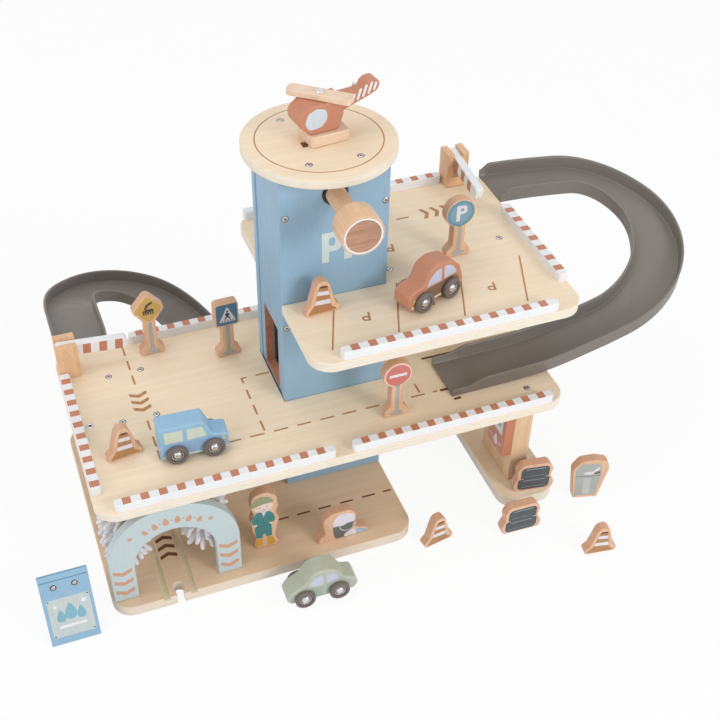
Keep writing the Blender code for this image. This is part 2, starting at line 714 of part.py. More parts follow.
def build_mop(name, x, y):
    """Hub bored for its spindle; three tiers of thick strands grow from its side and droop."""
    mesh = bmesh.new()
    bore = SPINDLE_RADIUS + RUNNING
    sides = 2 * MOP_STRANDS
    top = MOP_TOP
    heights = [top - MOP_TIER * tier for tier in range(MOP_TIERS + 1)]
    rings = [hub_ring(mesh, bore, heights[0], sides)]
    rings += [hub_ring(mesh, MOP_HUB, height, sides) for height in heights]
    rings.append(hub_ring(mesh, bore, heights[-1], sides))
    roots = []
    for level, (upper, lower) in enumerate(zip(rings, rings[1:] + rings[:1])):
        for side in range(sides):
            following = (side + 1) % sides
            face = mesh.faces.new((upper[side], lower[side], lower[following], upper[following]))
            if 1 <= level <= MOP_TIERS and side % 2 == level % 2:
                roots.append((face, level - 1, side))
    mesh.normal_update()
    for face, tier, side in roots:
        grow_strand(mesh, face, tier, math.tau * (side + 0.5) / sides)
    finish(name, mesh, "cotton", at(x, y, BASE_THICK), smooth=60)


def hub_ring(mesh, radius, height, sides):
    ring = []
    for side in range(sides):
        turn = math.tau * side / sides
        ring.append(mesh.verts.new((radius * math.cos(turn), radius * math.sin(turn), height)))
    return ring


def grow_strand(mesh, root, tier, turn):
    """Extrude one side face of the hub outwards and down; outer tiers reach farther."""
    reach = MOP_RADIUS - tier * (MOP_STRAND + 0.0014)
    drop = MOP_DROP + 0.003 * tier + 0.002 * math.sin(5 * turn + 2 * tier)
    face = root
    start = face.calc_center_median()
    width = min(MOP_STRAND, 0.8 * math.tau * reach / MOP_STRANDS)
    steps = 3
    for step in range(1, steps + 1):
        bend = math.pi / 2 * step / steps
        radius = MOP_HUB + (reach - MOP_STRAND / 2 - MOP_HUB) * math.sin(bend)
        height = start.z - drop * (1.0 - math.cos(bend)) + 0.002 * math.sin(2 * bend)
        out = Vector((math.cos(turn), math.sin(turn), 0.0))
        side = Vector((-out.y, out.x, 0.0))
        along = (out * math.cos(bend) - Vector((0, 0, 1)) * math.sin(bend)).normalized()
        up = side.cross(along) * -1.0
        swell = 1.0 if step < steps else 0.72
        grown = bmesh.ops.extrude_discrete_faces(mesh, faces=[face])
        face = grown["faces"][0]
        centre = out * radius + Vector((0, 0, height))
        place_square(face, centre, side, up, width * swell / 2, MOP_STRAND * swell / 2)


def place_square(face, centre, side, up, half_width, half_height):
    """Move a four-cornered face to a rectangle, each corner keeping its own quarter."""
    middle = face.calc_center_median()
    out = side.cross(Vector((0, 0, 1)))
    for vert in face.verts:
        away = vert.co - middle
        across = 1.0 if away.dot(side) > 0 else -1.0
        lift = 1.0 if away.z - away.dot(out) * 0.5 > 0 else -1.0
        vert.co = centre + side * across * half_width + up * lift * half_height


def build_winding_gear():
    """Knob, dowel with drum flanges, bushing, and the wound end of the lift cord."""
    shaft_front = TOWER_FRONT - KNOB_FACE + KNOB_LENGTH - KNOB_BORE + GAP
    shaft_back = TOWER_BACK - 2 * EASE
    axis = standing(TOWER_X, 0, CRANK_HEIGHT)
    drum = [
        (0.0, -shaft_front), (DOWEL_RADIUS, -shaft_front),
        (DOWEL_RADIUS, -TOWER_Y + DRUM_WIDTH / 2 + DRUM_FLANGE_THICK),
        (DRUM_FLANGE, -TOWER_Y + DRUM_WIDTH / 2 + DRUM_FLANGE_THICK),
        (DRUM_FLANGE, -TOWER_Y + DRUM_WIDTH / 2), (DOWEL_RADIUS, -TOWER_Y + DRUM_WIDTH / 2),
        (DOWEL_RADIUS, -TOWER_Y - DRUM_WIDTH / 2), (DRUM_FLANGE, -TOWER_Y - DRUM_WIDTH / 2),
        (DRUM_FLANGE, -TOWER_Y - DRUM_WIDTH / 2 - DRUM_FLANGE_THICK),
        (DOWEL_RADIUS, -TOWER_Y - DRUM_WIDTH / 2 - DRUM_FLANGE_THICK),
        (DOWEL_RADIUS, -shaft_back), (0.0, -shaft_back),
    ]
    turned("winding_dowel", "beech", axis, [drum], 18)
    face = -(TOWER_FRONT - KNOB_FACE)
    back = face - KNOB_LENGTH
    bore = DOWEL_RADIUS + GAP
    soft = 2 * EASE
    knob = [(0.0, face), (KNOB_RADIUS - soft, face), (KNOB_RADIUS, face - soft),
            (KNOB_RADIUS, back + soft), (KNOB_RADIUS - soft, back), (bore, back),
            (bore, back + KNOB_BORE), (0.0, back + KNOB_BORE)]
    turned("crank_knob", "beech", axis, [knob], 24)
    wall = -TOWER_FRONT
    hole = DOWEL_RADIUS + RUNNING
    bushing = [(hole, wall - TOWER_PLY), (BUSH_RADIUS, wall - TOWER_PLY), (BUSH_RADIUS, wall + GAP),
               (BUSH_FLANGE, wall + GAP), (BUSH_FLANGE, wall + GAP + BUSH_FLANGE_THICK),
               (hole, wall + GAP + BUSH_FLANGE_THICK)]
    turned("dowel_bushing", "black", axis, [bushing], 18)
    build_cord()


def cord_end_y():
    """Where along the drum the cord leaves its last turn."""
    return TOWER_Y + CORD_TURNS * CORD_PITCH / 2


def build_cord():
    """Turns on the drum, then the hanging length down to the lift's beam."""
    tail = 2 * CORD_RADIUS
    sweep = CORD_TURNS * math.tau
    points = []
    for step in range(CORD_TURNS * CORD_STEPS + 1):
        share = step / (CORD_TURNS * CORD_STEPS)
        turn = math.pi - sweep * (1.0 - share)
        points.append((WINDING_RADIUS * math.cos(turn),
                       cord_end_y() - CORD_TURNS * CORD_PITCH * (1.0 - share),
                       WINDING_RADIUS * math.sin(turn)))
    points.append((points[-1][0], points[-1][1], -tail))
    nearest = CORD_PITCH - 2 * CORD_RADIUS
    print("least gap between cord turns (m):", round(nearest, 5))
    tube("cord_winding", points, (TOWER_X, 0.0, CRANK_HEIGHT), 1)
    top = CRANK_HEIGHT - tail - GAP
    bottom = BASE_THICK + GAP + LIFT_HEIGHT + GAP
    x = TOWER_X - WINDING_RADIUS
    hanging = [(x, cord_end_y(), top + (bottom - top) * step / 4) for step in range(5)]
    tube("lift_cord", hanging, (0.0, 0.0, 0.0), 2)


def tube(name, points, place, resolution):
    """Round cord along points, as a curve with a bevel and filled caps."""
    curve = bpy.data.curves.new(name, "CURVE")
    curve.dimensions = "3D"
    curve.bevel_depth = CORD_RADIUS
    curve.bevel_resolution = resolution
    curve.use_fill_caps = True
    line = curve.splines.new("POLY")
    line.points.add(len(points) - 1)
    for target, point in zip(line.points, points):
        target.co = (*point, 1.0)
    thing = bpy.data.objects.new(name, curve)
    bpy.context.collection.objects.link(thing)
    thing.location = place
    paint(thing, "cord")


def build_lift():
    """Platform and the portal frame that stands on it and hangs from the cord."""
    low = BASE_THICK + GAP
    left = SHAFT_LEFT + LIFT_CLEAR
    right = SHAFT_RIGHT - LIFT_CLEAR
    front = SHAFT_FRONT + LIFT_CLEAR
    back = SHAFT_BACK - LIFT_CLEAR
    slab("lift_floor", "birch", at(0, 0, 0), box_outline(left, front, right, back),
         low, low + LIFT_FLOOR_THICK)
    foot = low + LIFT_FLOOR_THICK + GAP
    head = low + LIFT_HEIGHT
    portal = [(front, foot), (front + LIFT_POST, foot), (front + LIFT_POST, head - LIFT_BEAM),
              (back - LIFT_POST, head - LIFT_BEAM), (back - LIFT_POST, foot), (back, foot),
              (back, head), (front, head)]
    half = LIFT_FRAME_WIDTH / 2
    slab("lift_frame", "beech", sideways(TOWER_X, 0, 0), portal, -half, half)


def millimetres(corners):
    return [(u * OUTLINE_UNIT, v * OUTLINE_UNIT, radius * OUTLINE_UNIT) for u, v, radius in corners]


def cutout(name, colour, place, corners, steps=3):
    """A flat board figure that stands on its foot. place: front left foot corner and turn."""
    slab(name, colour, standing(*place), rounded(millimetres(corners), steps),
         -CUTOUT_THICK, 0.0, ease=CUTOUT_EASE)


SIGN_FOOT_RIGHT = [(24, 0, 2.5), (24.5, 6.5, 3), (18.5, 12.5, 4)]
SIGN_FOOT_LEFT = [(6, 12.5, 4), (0, 6.5, 3), (0.5, 0, 2.5)]


def signed_stem(head):
    """Outline in mm of a traffic sign: a foot, a stem and the head's own corners."""
    return SIGN_FOOT_RIGHT + head + SIGN_FOOT_LEFT


def build_signs():
    diamond = signed_stem([(18, 41, 1.5), (28.8, 56, 4.5), (12.2, 75.6, 5), (-4.4, 56, 4.5),
                           (6.4, 41, 1.5)])
    crossing = signed_stem([(18.2, 38.2, 1.0), (24.4, 38.2, 2.5), (24.4, 66.2, 3.5),
                            (0.0, 66.2, 3.5), (0.0, 38.2, 2.5), (6.4, 38.2, 1.0)])
    cutout("diamond_sign", "beech", (LEFT + 0.0838, FRONT + 0.2093, MID_TOP + GAP, 1.5), diamond)
    cutout("crossing_sign", "beech", (TOWER_LEFT - 0.0439, FRONT + 0.1814, MID_TOP + GAP, 2.0), crossing)
    disc_sign("parking_sign", (TOWER_LEFT + 0.1683, FRONT + 0.1154, TOP_TOP + GAP, 1.0), 48.0, 15.0)
    disc_sign("no_entry_sign", (RIGHT - 0.0197, FRONT + 0.0437, MID_TOP + GAP, 0.0), 51.5, 14.5)


def disc_sign(name, place, centre, radius):
    """Round-headed sign; centre is the disc's height and radius its size, in mm."""
    middle = 12.2
    turn = math.degrees(math.asin(6.0 / radius))
    stem = rounded(millimetres(SIGN_FOOT_RIGHT + [(18.2, 20, 0), (1, 0, 0)]), 3)[:-2]
    head = arc((middle * OUTLINE_UNIT, centre * OUTLINE_UNIT), radius * OUTLINE_UNIT,
               -90 + turn, 270 - turn, 19)
    foot = rounded(millimetres([(23, 0, 0), (6.2, 20, 0)] + SIGN_FOOT_LEFT), 3)[2:]
    outline = stem + head + foot
    slab(name, "beech", standing(*place), outline, -CUTOUT_THICK, 0.0, ease=CUTOUT_EASE)


CONE = [(0.6, 0, 2.5), (31.9, 0, 2.5), (33.2, 5, 2.5), (28.4, 9.5, 4), (22, 33, 5),
        (16.2, 37.4, 5), (10.5, 33, 5), (4.1, 9.5, 4), (-0.7, 5, 2.5)]


def build_cones():
    """Four equal board cones."""
    outline = rounded(millimetres(CONE), 3)
    for name, x, y, z, turn in (
        ("mid_deck_cone", LEFT + 0.0239, FRONT + 0.0729, MID_TOP + GAP, 9.3),
        ("top_deck_cone", TOWER_LEFT + 0.0148, FRONT + 0.0737, TOP_TOP + GAP, 3.9),
        ("front_floor_cone", RIGHT + 0.0041, FRONT - 0.0181, 0.0, 10.1),
        ("right_floor_cone", FAR_RIGHT - 0.0103, FRONT - 0.0791, 0.0, -7.5),
    ):
        slab(name, "beech", standing(x, y, z, turn), outline, -CUTOUT_THICK, 0.0,
             ease=CUTOUT_EASE)


def build_figures():
    """The standing figure, the bucket, the tyre stacks and the bin, all cut from board."""
    figure = [(0.5, 0, 2), (20.5, 0, 2), (23, 5, 4), (19.5, 14, 5), (21.5, 28, 4), (24, 38, 5),
              (20.5, 48, 4), (23.5, 56, 6), (22.5, 70, 8), (12, 77.5, 9), (-1, 73, 9),
              (-3.5, 58, 7), (-0.5, 49, 5), (-4, 38, 6), (-2.5, 25, 5), (0.5, 14, 6), (-1.5, 5, 3)]
    cutout("figure", "beech", (LEFT + 0.1439, FRONT + 0.0287, BASE_THICK + GAP, -6.2), figure)
    bucket = [(-2, 0, 2.5), (48.5, 0, 2), (50, 4, 1.5), (46, 7, 3), (34.5, 11, 4), (36.5, 30, 7),
              (30, 38.5, 8), (10, 38.5, 8), (1.5, 31, 7), (4, 11, 4), (-2.5, 5, 3)]
    cutout("bucket", "beech", (LEFT + 0.2057, FRONT + 0.0121, BASE_THICK + GAP, 1.4), bucket)
    bin_outline = [(-0.5, 0, 2.5), (25.5, 0, 2.5), (33, 41, 6), (30.5, 51, 7), (17, 54.5, 12),
                   (2, 52.5, 8), (-5, 41, 8)]
    cutout("waste_bin", "beech", (FAR_RIGHT + 0.0153, FRONT - 0.0075, 0.0, -14.5), bin_outline)
    stack = [(2.5, 0, 3), (41.5, 0, 3), (43.5, 8, 6), (39, 18, 5), (41, 28, 6), (35, 36.5, 5),
             (7, 36.5, 5), (2.5, 28, 6), (3.8, 18, 5), (-0.5, 8, 6)]
    cutout("plate_tyre_stack", "beech", (FAR_RIGHT - 0.0465, FRONT + 0.0105, BASE_THICK + GAP, -8.7),
           stack)
    cutout("floor_tyre_stack", "beech", (FAR_RIGHT - 0.0775, FRONT - 0.0280, 0.0, -1.8), stack)


def build_sign_board():
    """Folding board: two leaves that lean together, the rear one with the wedge they screw to."""
    run = BOARD_LENGTH * math.sin(BOARD_LEAN)
    rise = BOARD_LENGTH * math.cos(BOARD_LEAN)
    across = BOARD_THICK / math.cos(BOARD_LEAN)
    half = BOARD_WIDTH / 2
    leaf = [(-run, 0.0), (-run + across, 0.0), (-GAP, rise - across / math.tan(BOARD_LEAN)),
            (-GAP, rise)]
    back = [(-u, v) for u, v in reversed(leaf)]
    place = sideways(LEFT - BOARD_ASIDE, FRONT - BOARD_AHEAD + run, 0.0)
    slab("sign_board_front", "sky", place, leaf, -half, half)
    slab("sign_board_back", "sky", place, back, -half, half)


def car_frame(x, y, z, degrees):
    """Frame with its origin on the near face of the first wheel, at the axle's height."""
    return standing(x, y, z + WHEEL_RADIUS, degrees)


SUV = [(-15, -6.5, 2), (48, -6.5, 2), (48.8, 11.3, 3), (34.3, 14, 2), (27, 31, 3), (-15, 31, 2.5)]
SALOON = [(-13, -6, 4), (-16.5, 0, 4), (-16, 9.5, 6), (-10, 14.2, 5), (1.5, 15, 4), (8, 29, 9),
          (20, 32.5, 14), (36, 28.5, 12), (46.5, 18, 9), (51.5, 2, 6), (49, -6, 4)]
COUPE = [(-13, -6, 4), (-17.5, 0, 4), (-13, 8, 6), (0, 15.5, 9), (7.5, 28, 9), (19, 31, 14),
         (31.5, 27.5, 9), (41, 12.5, 4), (50.5, 9.5, 4), (54, 1, 4), (50, -6, 4)]


def build_cars():
    """Each car: a body sawn from a thick board, bored for two axles that turn in it."""
    for name, colour, outline, place in (
        ("suv", "sky", SUV, (LEFT + 0.0826, FRONT + 0.0498, MID_TOP + GAP, -2.3)),
        ("red_car", "terracotta", SALOON, (TOWER_LEFT + 0.1181, FRONT + 0.045, TOP_TOP + GAP, 20.8)),
        ("green_car", "sage", COUPE, (LEFT + 0.1702, FRONT - 0.0466, 0.0, -0.8)),
    ):
        frame = car_frame(*place)
        near = -WHEEL_THICK - WHEEL_GAP
        bores = [circle((u, 0.0), AXLE_RADIUS + RUNNING, 10) for u in (0.0, WHEELBASE)]
        slab(name + "_body", colour, frame, rounded(millimetres(outline), 3),
             near - CAR_WIDTH, near, bores, ease=CAR_EASE)
        for end, u in (("first", 0.0), ("second", WHEELBASE)):
            turned(name + "_" + end + "_wheels", "tyre", frame @ at(u, 0, 0), [wheelset()], 15)


def wheelset():
    """Two wheels on one axle, drawn as (radius, w): domed hubs in recessed rims."""
    radius = WHEEL_RADIUS
    inside = -WHEEL_THICK
    far = inside - 2 * WHEEL_GAP - CAR_WIDTH
    near_side = [(0.0, -0.0004), (0.45 * radius, -0.0014), (0.5 * radius, -0.0022),
                 (0.64 * radius, 0.0), (0.86 * radius, 0.0), (radius, -0.0014),
                 (radius, inside), (AXLE_RADIUS, inside)]
    middle = (inside + far) / 2
    far_side = [(r, 2 * middle - w) for r, w in reversed(near_side)]
    return near_side + far_side


def build_helicopter():
    """Base block, a body with a thinner tail, and a blade that turns on a rivet."""
    frame = standing(TOWER_X - 0.01295, TOWER_Y - 0.01465, ROOF_TOP + GAP, HELI_TURN)
    flat = frame @ Matrix.Rotation(-math.pi / 2, 4, "X")
    block = box_outline(0.0, 0.0, HELI_BLOCK_LENGTH, HELI_BLOCK_DEPTH, 0.003, 3)
    slab("heli_base", "beech", flat, block, 0.0, HELI_BLOCK_THICK)
    middle = HELI_CABIN_FRONT + HELI_CABIN_DEPTH / 2
    low = HELI_BLOCK_THICK + GAP
    high = HELI_TOP
    foot, head = low / OUTLINE_UNIT, high / OUTLINE_UNIT
    cabin = rounded(millimetres([(2, foot, 4), (28, foot, 2), (33, 22, 6), (34, head, 0.5),
                                 (1, head, 6), (-9, 30, 8), (-8, 19, 8)]), 3)
    tail = rounded(millimetres([(26, 20.5, 0), (40, 24.5, 10), (60, 32.5, 8), (70, 38.5, 5),
                                (69, 46, 5), (59.5, 45, 6), (53.5, 38, 6), (26, 37.5, 0)]), 3)
    body = slab("heli_body", "terracotta", frame, cabin, -HELI_CABIN_FRONT - HELI_CABIN_DEPTH,
                -HELI_CABIN_FRONT, ease=2 * EASE)
    half_tail = HELI_TAIL_DEPTH / 2
    combine(body, operand_of("heli_tail", [tail], -middle - half_tail, -middle + half_tail,
                             frame, EASE), "UNION")
    top = flat @ at(ROTOR_AXIS, middle, high)
    head = 2 * GAP + ROTOR_THICK
    rivet = turned("heli_rivet", "steel", top, [[
        (0.0, -RIVET_SUNK), (RIVET_RADIUS, -RIVET_SUNK), (RIVET_RADIUS, head), (RIVET_HEAD, head),
        (0.7 * RIVET_HEAD, head + 0.8 * RIVET_DOME), (0.0, head + RIVET_DOME)]], 14)
    combine(body, rivet, "UNION")
    blade_end = ROTOR_WIDTH * 0.45
    blade = box_outline(-ROTOR_REACH, -ROTOR_WIDTH / 2, ROTOR_REACH, ROTOR_WIDTH / 2, blade_end, 4)
    hole = circle((0.0, 0.0), RIVET_RADIUS + RUNNING, 12)
    slab("heli_rotor", "birch", top @ Matrix.Rotation(ROTOR_TURN, 4, "Z"), blade,
         GAP, GAP + ROTOR_THICK, [hole])


build_plates()
build_decks()
build_tower()
build_barriers()
build_ramps()
build_fuel_station()
build_wash()
build_winding_gear()
build_lift()
build_signs()
build_cones()
build_figures()
build_sign_board()
build_cars()
build_helicopter()
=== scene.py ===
import math

import bpy
import numpy as np
from mathutils import Matrix
from mathutils.geometry import tessellate_polygon


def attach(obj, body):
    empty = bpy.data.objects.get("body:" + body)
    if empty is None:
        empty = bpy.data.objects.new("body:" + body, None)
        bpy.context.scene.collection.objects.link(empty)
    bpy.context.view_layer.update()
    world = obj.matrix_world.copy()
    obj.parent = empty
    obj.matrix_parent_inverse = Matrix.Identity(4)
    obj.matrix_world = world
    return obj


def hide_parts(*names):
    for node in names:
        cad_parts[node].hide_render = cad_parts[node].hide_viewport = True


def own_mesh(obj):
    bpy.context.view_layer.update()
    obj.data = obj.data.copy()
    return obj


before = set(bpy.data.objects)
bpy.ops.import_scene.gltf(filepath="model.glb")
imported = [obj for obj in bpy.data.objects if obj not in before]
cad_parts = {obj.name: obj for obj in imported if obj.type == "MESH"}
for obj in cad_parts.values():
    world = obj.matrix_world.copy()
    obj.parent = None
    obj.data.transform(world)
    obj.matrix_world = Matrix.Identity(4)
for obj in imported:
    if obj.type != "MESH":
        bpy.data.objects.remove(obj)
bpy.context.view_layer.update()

# Everything is drawn in millimetres from the base plate's front left corner, on the floor
ORIGIN = np.array([-0.150, -0.1275, 0.0])
BASE_TOP = 12.5
MID_TOP = 130.3
TOP_TOP = 248.1
ROOF_UNDER = 377.7
ROOF_TOP = 386.7
PLY = 10.0  # boards of the decks, arches and signs
GAP = 0.3  # under a loose piece
INK = 0.07  # one coat of a print


# Places: three axes and an origin, as the rows of a matrix

def turning(degrees):
    """Matrix that turns rows of (u, v) from u towards v."""
    turn = math.radians(degrees)
    return np.array([[math.cos(turn), math.sin(turn)], [-math.sin(turn), math.cos(turn)]])


def upright(x, y, z, degrees=0.0):
    """Axes and origin of a standing board: u along it, v up, w out of its front."""
    turn = math.radians(degrees)
    return np.array([[math.cos(turn), math.sin(turn), 0.0], [0.0, 0.0, 1.0],
                     [math.sin(turn), -math.cos(turn), 0.0], [x, y, z]])


def level(x=0.0, y=0.0, z=0.0, degrees=0.0):
    """Axes and origin of a board that lies flat: u along it, v to its back, w up."""
    turn = math.radians(degrees)
    return np.array([[math.cos(turn), math.sin(turn), 0.0],
                     [-math.sin(turn), math.cos(turn), 0.0], [0.0, 0.0, 1.0], [x, y, z]])


def moved(place, u=0.0, v=0.0, w=0.0):
    """The same axes with the origin moved along them."""
    return np.vstack([place[:3], place[3] + np.array([u, v, w]) @ place[:3]])


def spun(place, degrees):
    """The same origin with u and v turned about w."""
    return np.vstack([level(degrees=degrees)[:3] @ place[:3], place[3]])


# Outlines: points (u, v), or corners (u, v, radius) that board() rounds

def rounded(corners, steps=7):
    """Outline through corners (u, v, radius). Each corner becomes the circular arc that touches
    both of its edges: the centre lies on the bisector, at reach / cos(half the corner's angle)."""
    corners = np.asarray(corners, float)
    tip, radius = corners[:, :2], corners[:, 2]
    back, ahead = np.roll(tip, 1, 0) - tip, np.roll(tip, -1, 0) - tip
    back_length, ahead_length = np.linalg.norm(back, axis=1), np.linalg.norm(ahead, axis=1)
    back, ahead = back / back_length[:, None], ahead / ahead_length[:, None]
    half = np.arccos(np.clip((back * ahead).sum(1), -0.9999, 0.9999)) / 2
    reach = np.minimum(radius / np.tan(half), 0.495 * np.minimum(back_length, ahead_length))
    bisector = back + ahead
    bisector /= np.linalg.norm(bisector, axis=1)[:, None]
    centre = tip + bisector * (reach / np.cos(half))[:, None]
    first = tip + back * reach[:, None] - centre
    side = np.sign(back[:, 1] * ahead[:, 0] - back[:, 0] * ahead[:, 1])
    turn = (side * (math.pi - 2 * half))[:, None] * np.linspace(0.0, 1.0, steps + 1)
    points = np.stack([first[:, :1] * np.cos(turn) - first[:, 1:] * np.sin(turn),
                       first[:, :1] * np.sin(turn) + first[:, 1:] * np.cos(turn)], -1)
    points = (points + centre[:, None]).reshape(-1, 2)
    apart = np.linalg.norm(points - np.roll(points, 1, 0), axis=1) > 1e-4
    return points[apart]


def box(low_u, low_v, high_u, high_v, radius=0.0, steps=7):
    """Rectangle between two corners, each of its own corners rounded alike."""
    return rounded([(low_u, low_v, radius), (high_u, low_v, radius), (high_u, high_v, radius),
                    (low_u, high_v, radius)], steps)


def circle(u, v, radius, count=48):
    """Points at equal angles, one radius from the middle."""
    turn = np.arange(count) * (math.tau / count)
    return np.column_stack([u + radius * np.cos(turn), v + radius * np.sin(turn)])


def oval(u, v, half_u, half_v, lean=0.0, count=40):
    """Ellipse: a circle stretched by its two half widths, then turned by lean degrees."""
    turn = np.arange(count) * (math.tau / count)
    return np.column_stack([half_u * np.cos(turn), half_v * np.sin(turn)]) @ turning(lean) + [u, v]


def arc(u, v, radius, start, end, count=24):
    """Points on a circle from the start angle to the end angle, in degrees."""
    turn = np.radians(np.linspace(start, end, count))
    return np.column_stack([u + radius * np.cos(turn), v + radius * np.sin(turn)])


def shaped(*pieces):
    """One outline from several runs of points, put end to end."""
    return np.concatenate([np.asarray(piece, float).reshape(-1, 2) for piece in pieces])


def area(loop):
    """Signed area of a loop: half the sum of the cross products of neighbouring points."""
    ahead = np.roll(loop, -1, 0)
    return 0.5 * (loop[:, 0] * ahead[:, 1] - loop[:, 1] * ahead[:, 0]).sum()


def inset(loop, distance):
    """Outline moved to its left: every point goes along the mitre of its two edges' normals."""
    edge = np.roll(loop, -1, 0) - loop
    normal = np.column_stack([-edge[:, 1], edge[:, 0]]) / np.linalg.norm(edge, axis=1)[:, None]
    before = np.roll(normal, 1, 0)
    mitre = (normal + before) / (1.0 + (normal * before).sum(1))[:, None]
    return loop + distance * mitre


def rim(low, high, low_ease, high_ease, steps):
    """(inset, height) up a board's edge: a quarter circle at each face, with a narrow straight
    band on both sides of it that keeps the shading of the flats even."""
    band = 0.25
    turn = np.linspace(0.0, math.pi / 2, steps + 1)
    lower = upper = np.zeros((1, 2))
    if low_ease:
        lower = np.column_stack([low_ease * (1 - np.sin(turn)), low_ease * (1 - np.cos(turn))])
        lower = np.vstack([[low_ease + band, 0.0], lower, [0.0, low_ease + band]])
    if high_ease:
        upper = np.column_stack([high_ease * (1 - np.sin(turn)), high_ease * (1 - np.cos(turn))])
        upper = np.vstack([[high_ease + band, 0.0], upper, [0.0, high_ease + band]])
    return np.vstack([lower + [0.0, low], upper[::-1] * [1.0, -1.0] + [0.0, high]])


def grid_faces(rows, columns):
    """Quads between neighbouring rows of a grid whose columns close on themselves."""
    row, column = np.meshgrid(np.arange(rows - 1), np.arange(columns), indexing="ij")
    beside = (column + 1) % columns
    quads = np.stack([row * columns + column, row * columns + beside,
                      (row + 1) * columns + beside, (row + 1) * columns + column], -1)
    return quads.reshape(-1, 4)


def board(loops, low, high, place, ease=(0.0, 0.0), steps=4):
    """Board from an outline and its holes: each loop is carried up the rim, and the two faces are
    filled with triangles between the loops."""
    profile = rim(low, high, *ease, steps)
    points, quads, floor, roof = [], [], [], []
    start = 0
    for index, loop in enumerate(loops):
        loop = np.asarray(loop, float)
        if loop.shape[1] == 3:
            loop = rounded(loop)
        if (area(loop) > 0) != (index == 0):
            loop = loop[::-1]
        count = len(loop)
        points += [np.column_stack([inset(loop, away), np.full(count, height)])
                   for away, height in profile]
        quads.append(start + grid_faces(len(profile), count))
        floor.append(start + np.arange(count))
        start += len(profile) * count
        roof.append(start - count + np.arange(count))
    points = np.concatenate(points)
    return (points @ place[:3] + place[3],
            [np.concatenate(quads), fill(points, roof), fill(points, floor)[:, ::-1]], None)


def fill(points, loops):
    """Triangles between loops of point numbers, all facing +w."""
    flat = [[(u, v, 0.0) for u, v in points[loop, :2].tolist()] for loop in loops]
    numbers = np.concatenate(loops)
    triangles = numbers[np.array(tessellate_polygon(flat))]
    a, b, c = (points[triangles[:, side], :2] for side in range(3))
    facing = (b[:, 0] - a[:, 0]) * (c[:, 1] - a[:, 1]) - (b[:, 1] - a[:, 1]) * (c[:, 0] - a[:, 0])
    return np.where((facing < 0)[:, None], triangles[:, ::-1], triangles)


def outward(points, groups, places=None):
    """The same surface with its faces pointing out: the signed volume under them is positive."""
    volume = 0.0
    for group in groups:
        first = points[group[:, 0]]
        for side in range(1, group.shape[1] - 1):
            second, third = points[group[:, side]], points[group[:, side + 1]]
            volume += (first * np.cross(second, third)).sum()
    if volume < 0:
        groups = [group[:, ::-1] for group in groups]
        places = places and [place[:, ::-1] for place in places]
    return points, groups, places


def turned(profile, place, sides=64, ripple=None):
    """Body of revolution about w from (radius, w) points. It ends on the axis at both ends, or
    closes on itself. ripple(angle, rows) adds to w, for ribs that run round a face."""
    profile = np.asarray(profile, float)
    angle = np.arange(sides) * (math.tau / sides)
    rings = np.stack([np.outer(profile[:, 0], np.cos(angle)),
                      np.outer(profile[:, 0], np.sin(angle)),
                      np.repeat(profile[:, 1:], sides, 1)], -1)
    if ripple:
        rings[..., 2] += ripple(angle, profile)
    rows = len(profile)
    if profile[0, 0] > 0:
        points = rings.reshape(-1, 3)
        groups = [grid_faces(rows + 1, sides) % len(points)]
    else:
        points = np.vstack([rings[0, :1], rings[1:-1].reshape(-1, 3), rings[-1, :1]])
        side = np.arange(sides)
        beside = (side + 1) % sides
        last = len(points) - 1
        fans = [np.column_stack([np.zeros_like(side), 1 + beside, 1 + side]),
                np.column_stack([np.full_like(side, last), last - sides + side,
                                 last - sides + beside])]
        groups = [grid_faces(rows - 2, sides) + 1, np.concatenate(fans)]
    return outward(points @ place[:3] + place[3], groups)


def strands(paths, radii, side, place, sides=10):
    """Round strands along paths (strand, station, 3), with radii (strand or 1, station). Rings
    stand across the path, between the given side direction and the one square to it. The
    texture runs (share round the strand, millimetres along it)."""
    paths = np.asarray(paths, float)
    count, stations = paths.shape[:2]
    tangent = np.gradient(paths, axis=1)
    tangent /= np.linalg.norm(tangent, axis=2)[..., None]
    side = np.broadcast_to(side, paths.shape)
    side = side - (side * tangent).sum(2)[..., None] * tangent
    side = side / np.linalg.norm(side, axis=2)[..., None]
    other = np.cross(tangent, side)
    angle = np.arange(sides) * (math.tau / sides)
    radii = np.broadcast_to(radii, (count, stations))[..., None, None]
    rings = (paths[:, :, None] + radii * (side[:, :, None] * np.cos(angle)[:, None]
                                          + other[:, :, None] * np.sin(angle)[:, None]))
    points = rings.reshape(-1, 3)
    quads = grid_faces(stations, sides)
    steps = np.linalg.norm(np.diff(paths, axis=1), axis=2)
    length = np.concatenate([np.zeros((count, 1)), np.cumsum(steps, 1)], 1)
    row, column = quads // sides, quads % sides
    round_share = (column + np.array([0, 1, 1, 0]) * (column[:, [0]] == sides - 1) * sides
                   * (column == 0)) / sides
    texture = np.stack([np.broadcast_to(round_share, (count,) + quads.shape),
                        length[:, row]], -1).reshape(-1, 4, 2)
    offsets = (np.arange(count) * stations * sides)[:, None, None]
    caps = np.stack([np.arange(sides)[::-1], (stations - 1) * sides + np.arange(sides)])
    shell = outward(points, [(offsets + quads).reshape(-1, 4), (offsets + caps).reshape(-1, sides)],
                    [texture, np.zeros((2 * count, sides, 2))])
    return (shell[0] @ place[:3] + place[3], shell[1], shell[2])


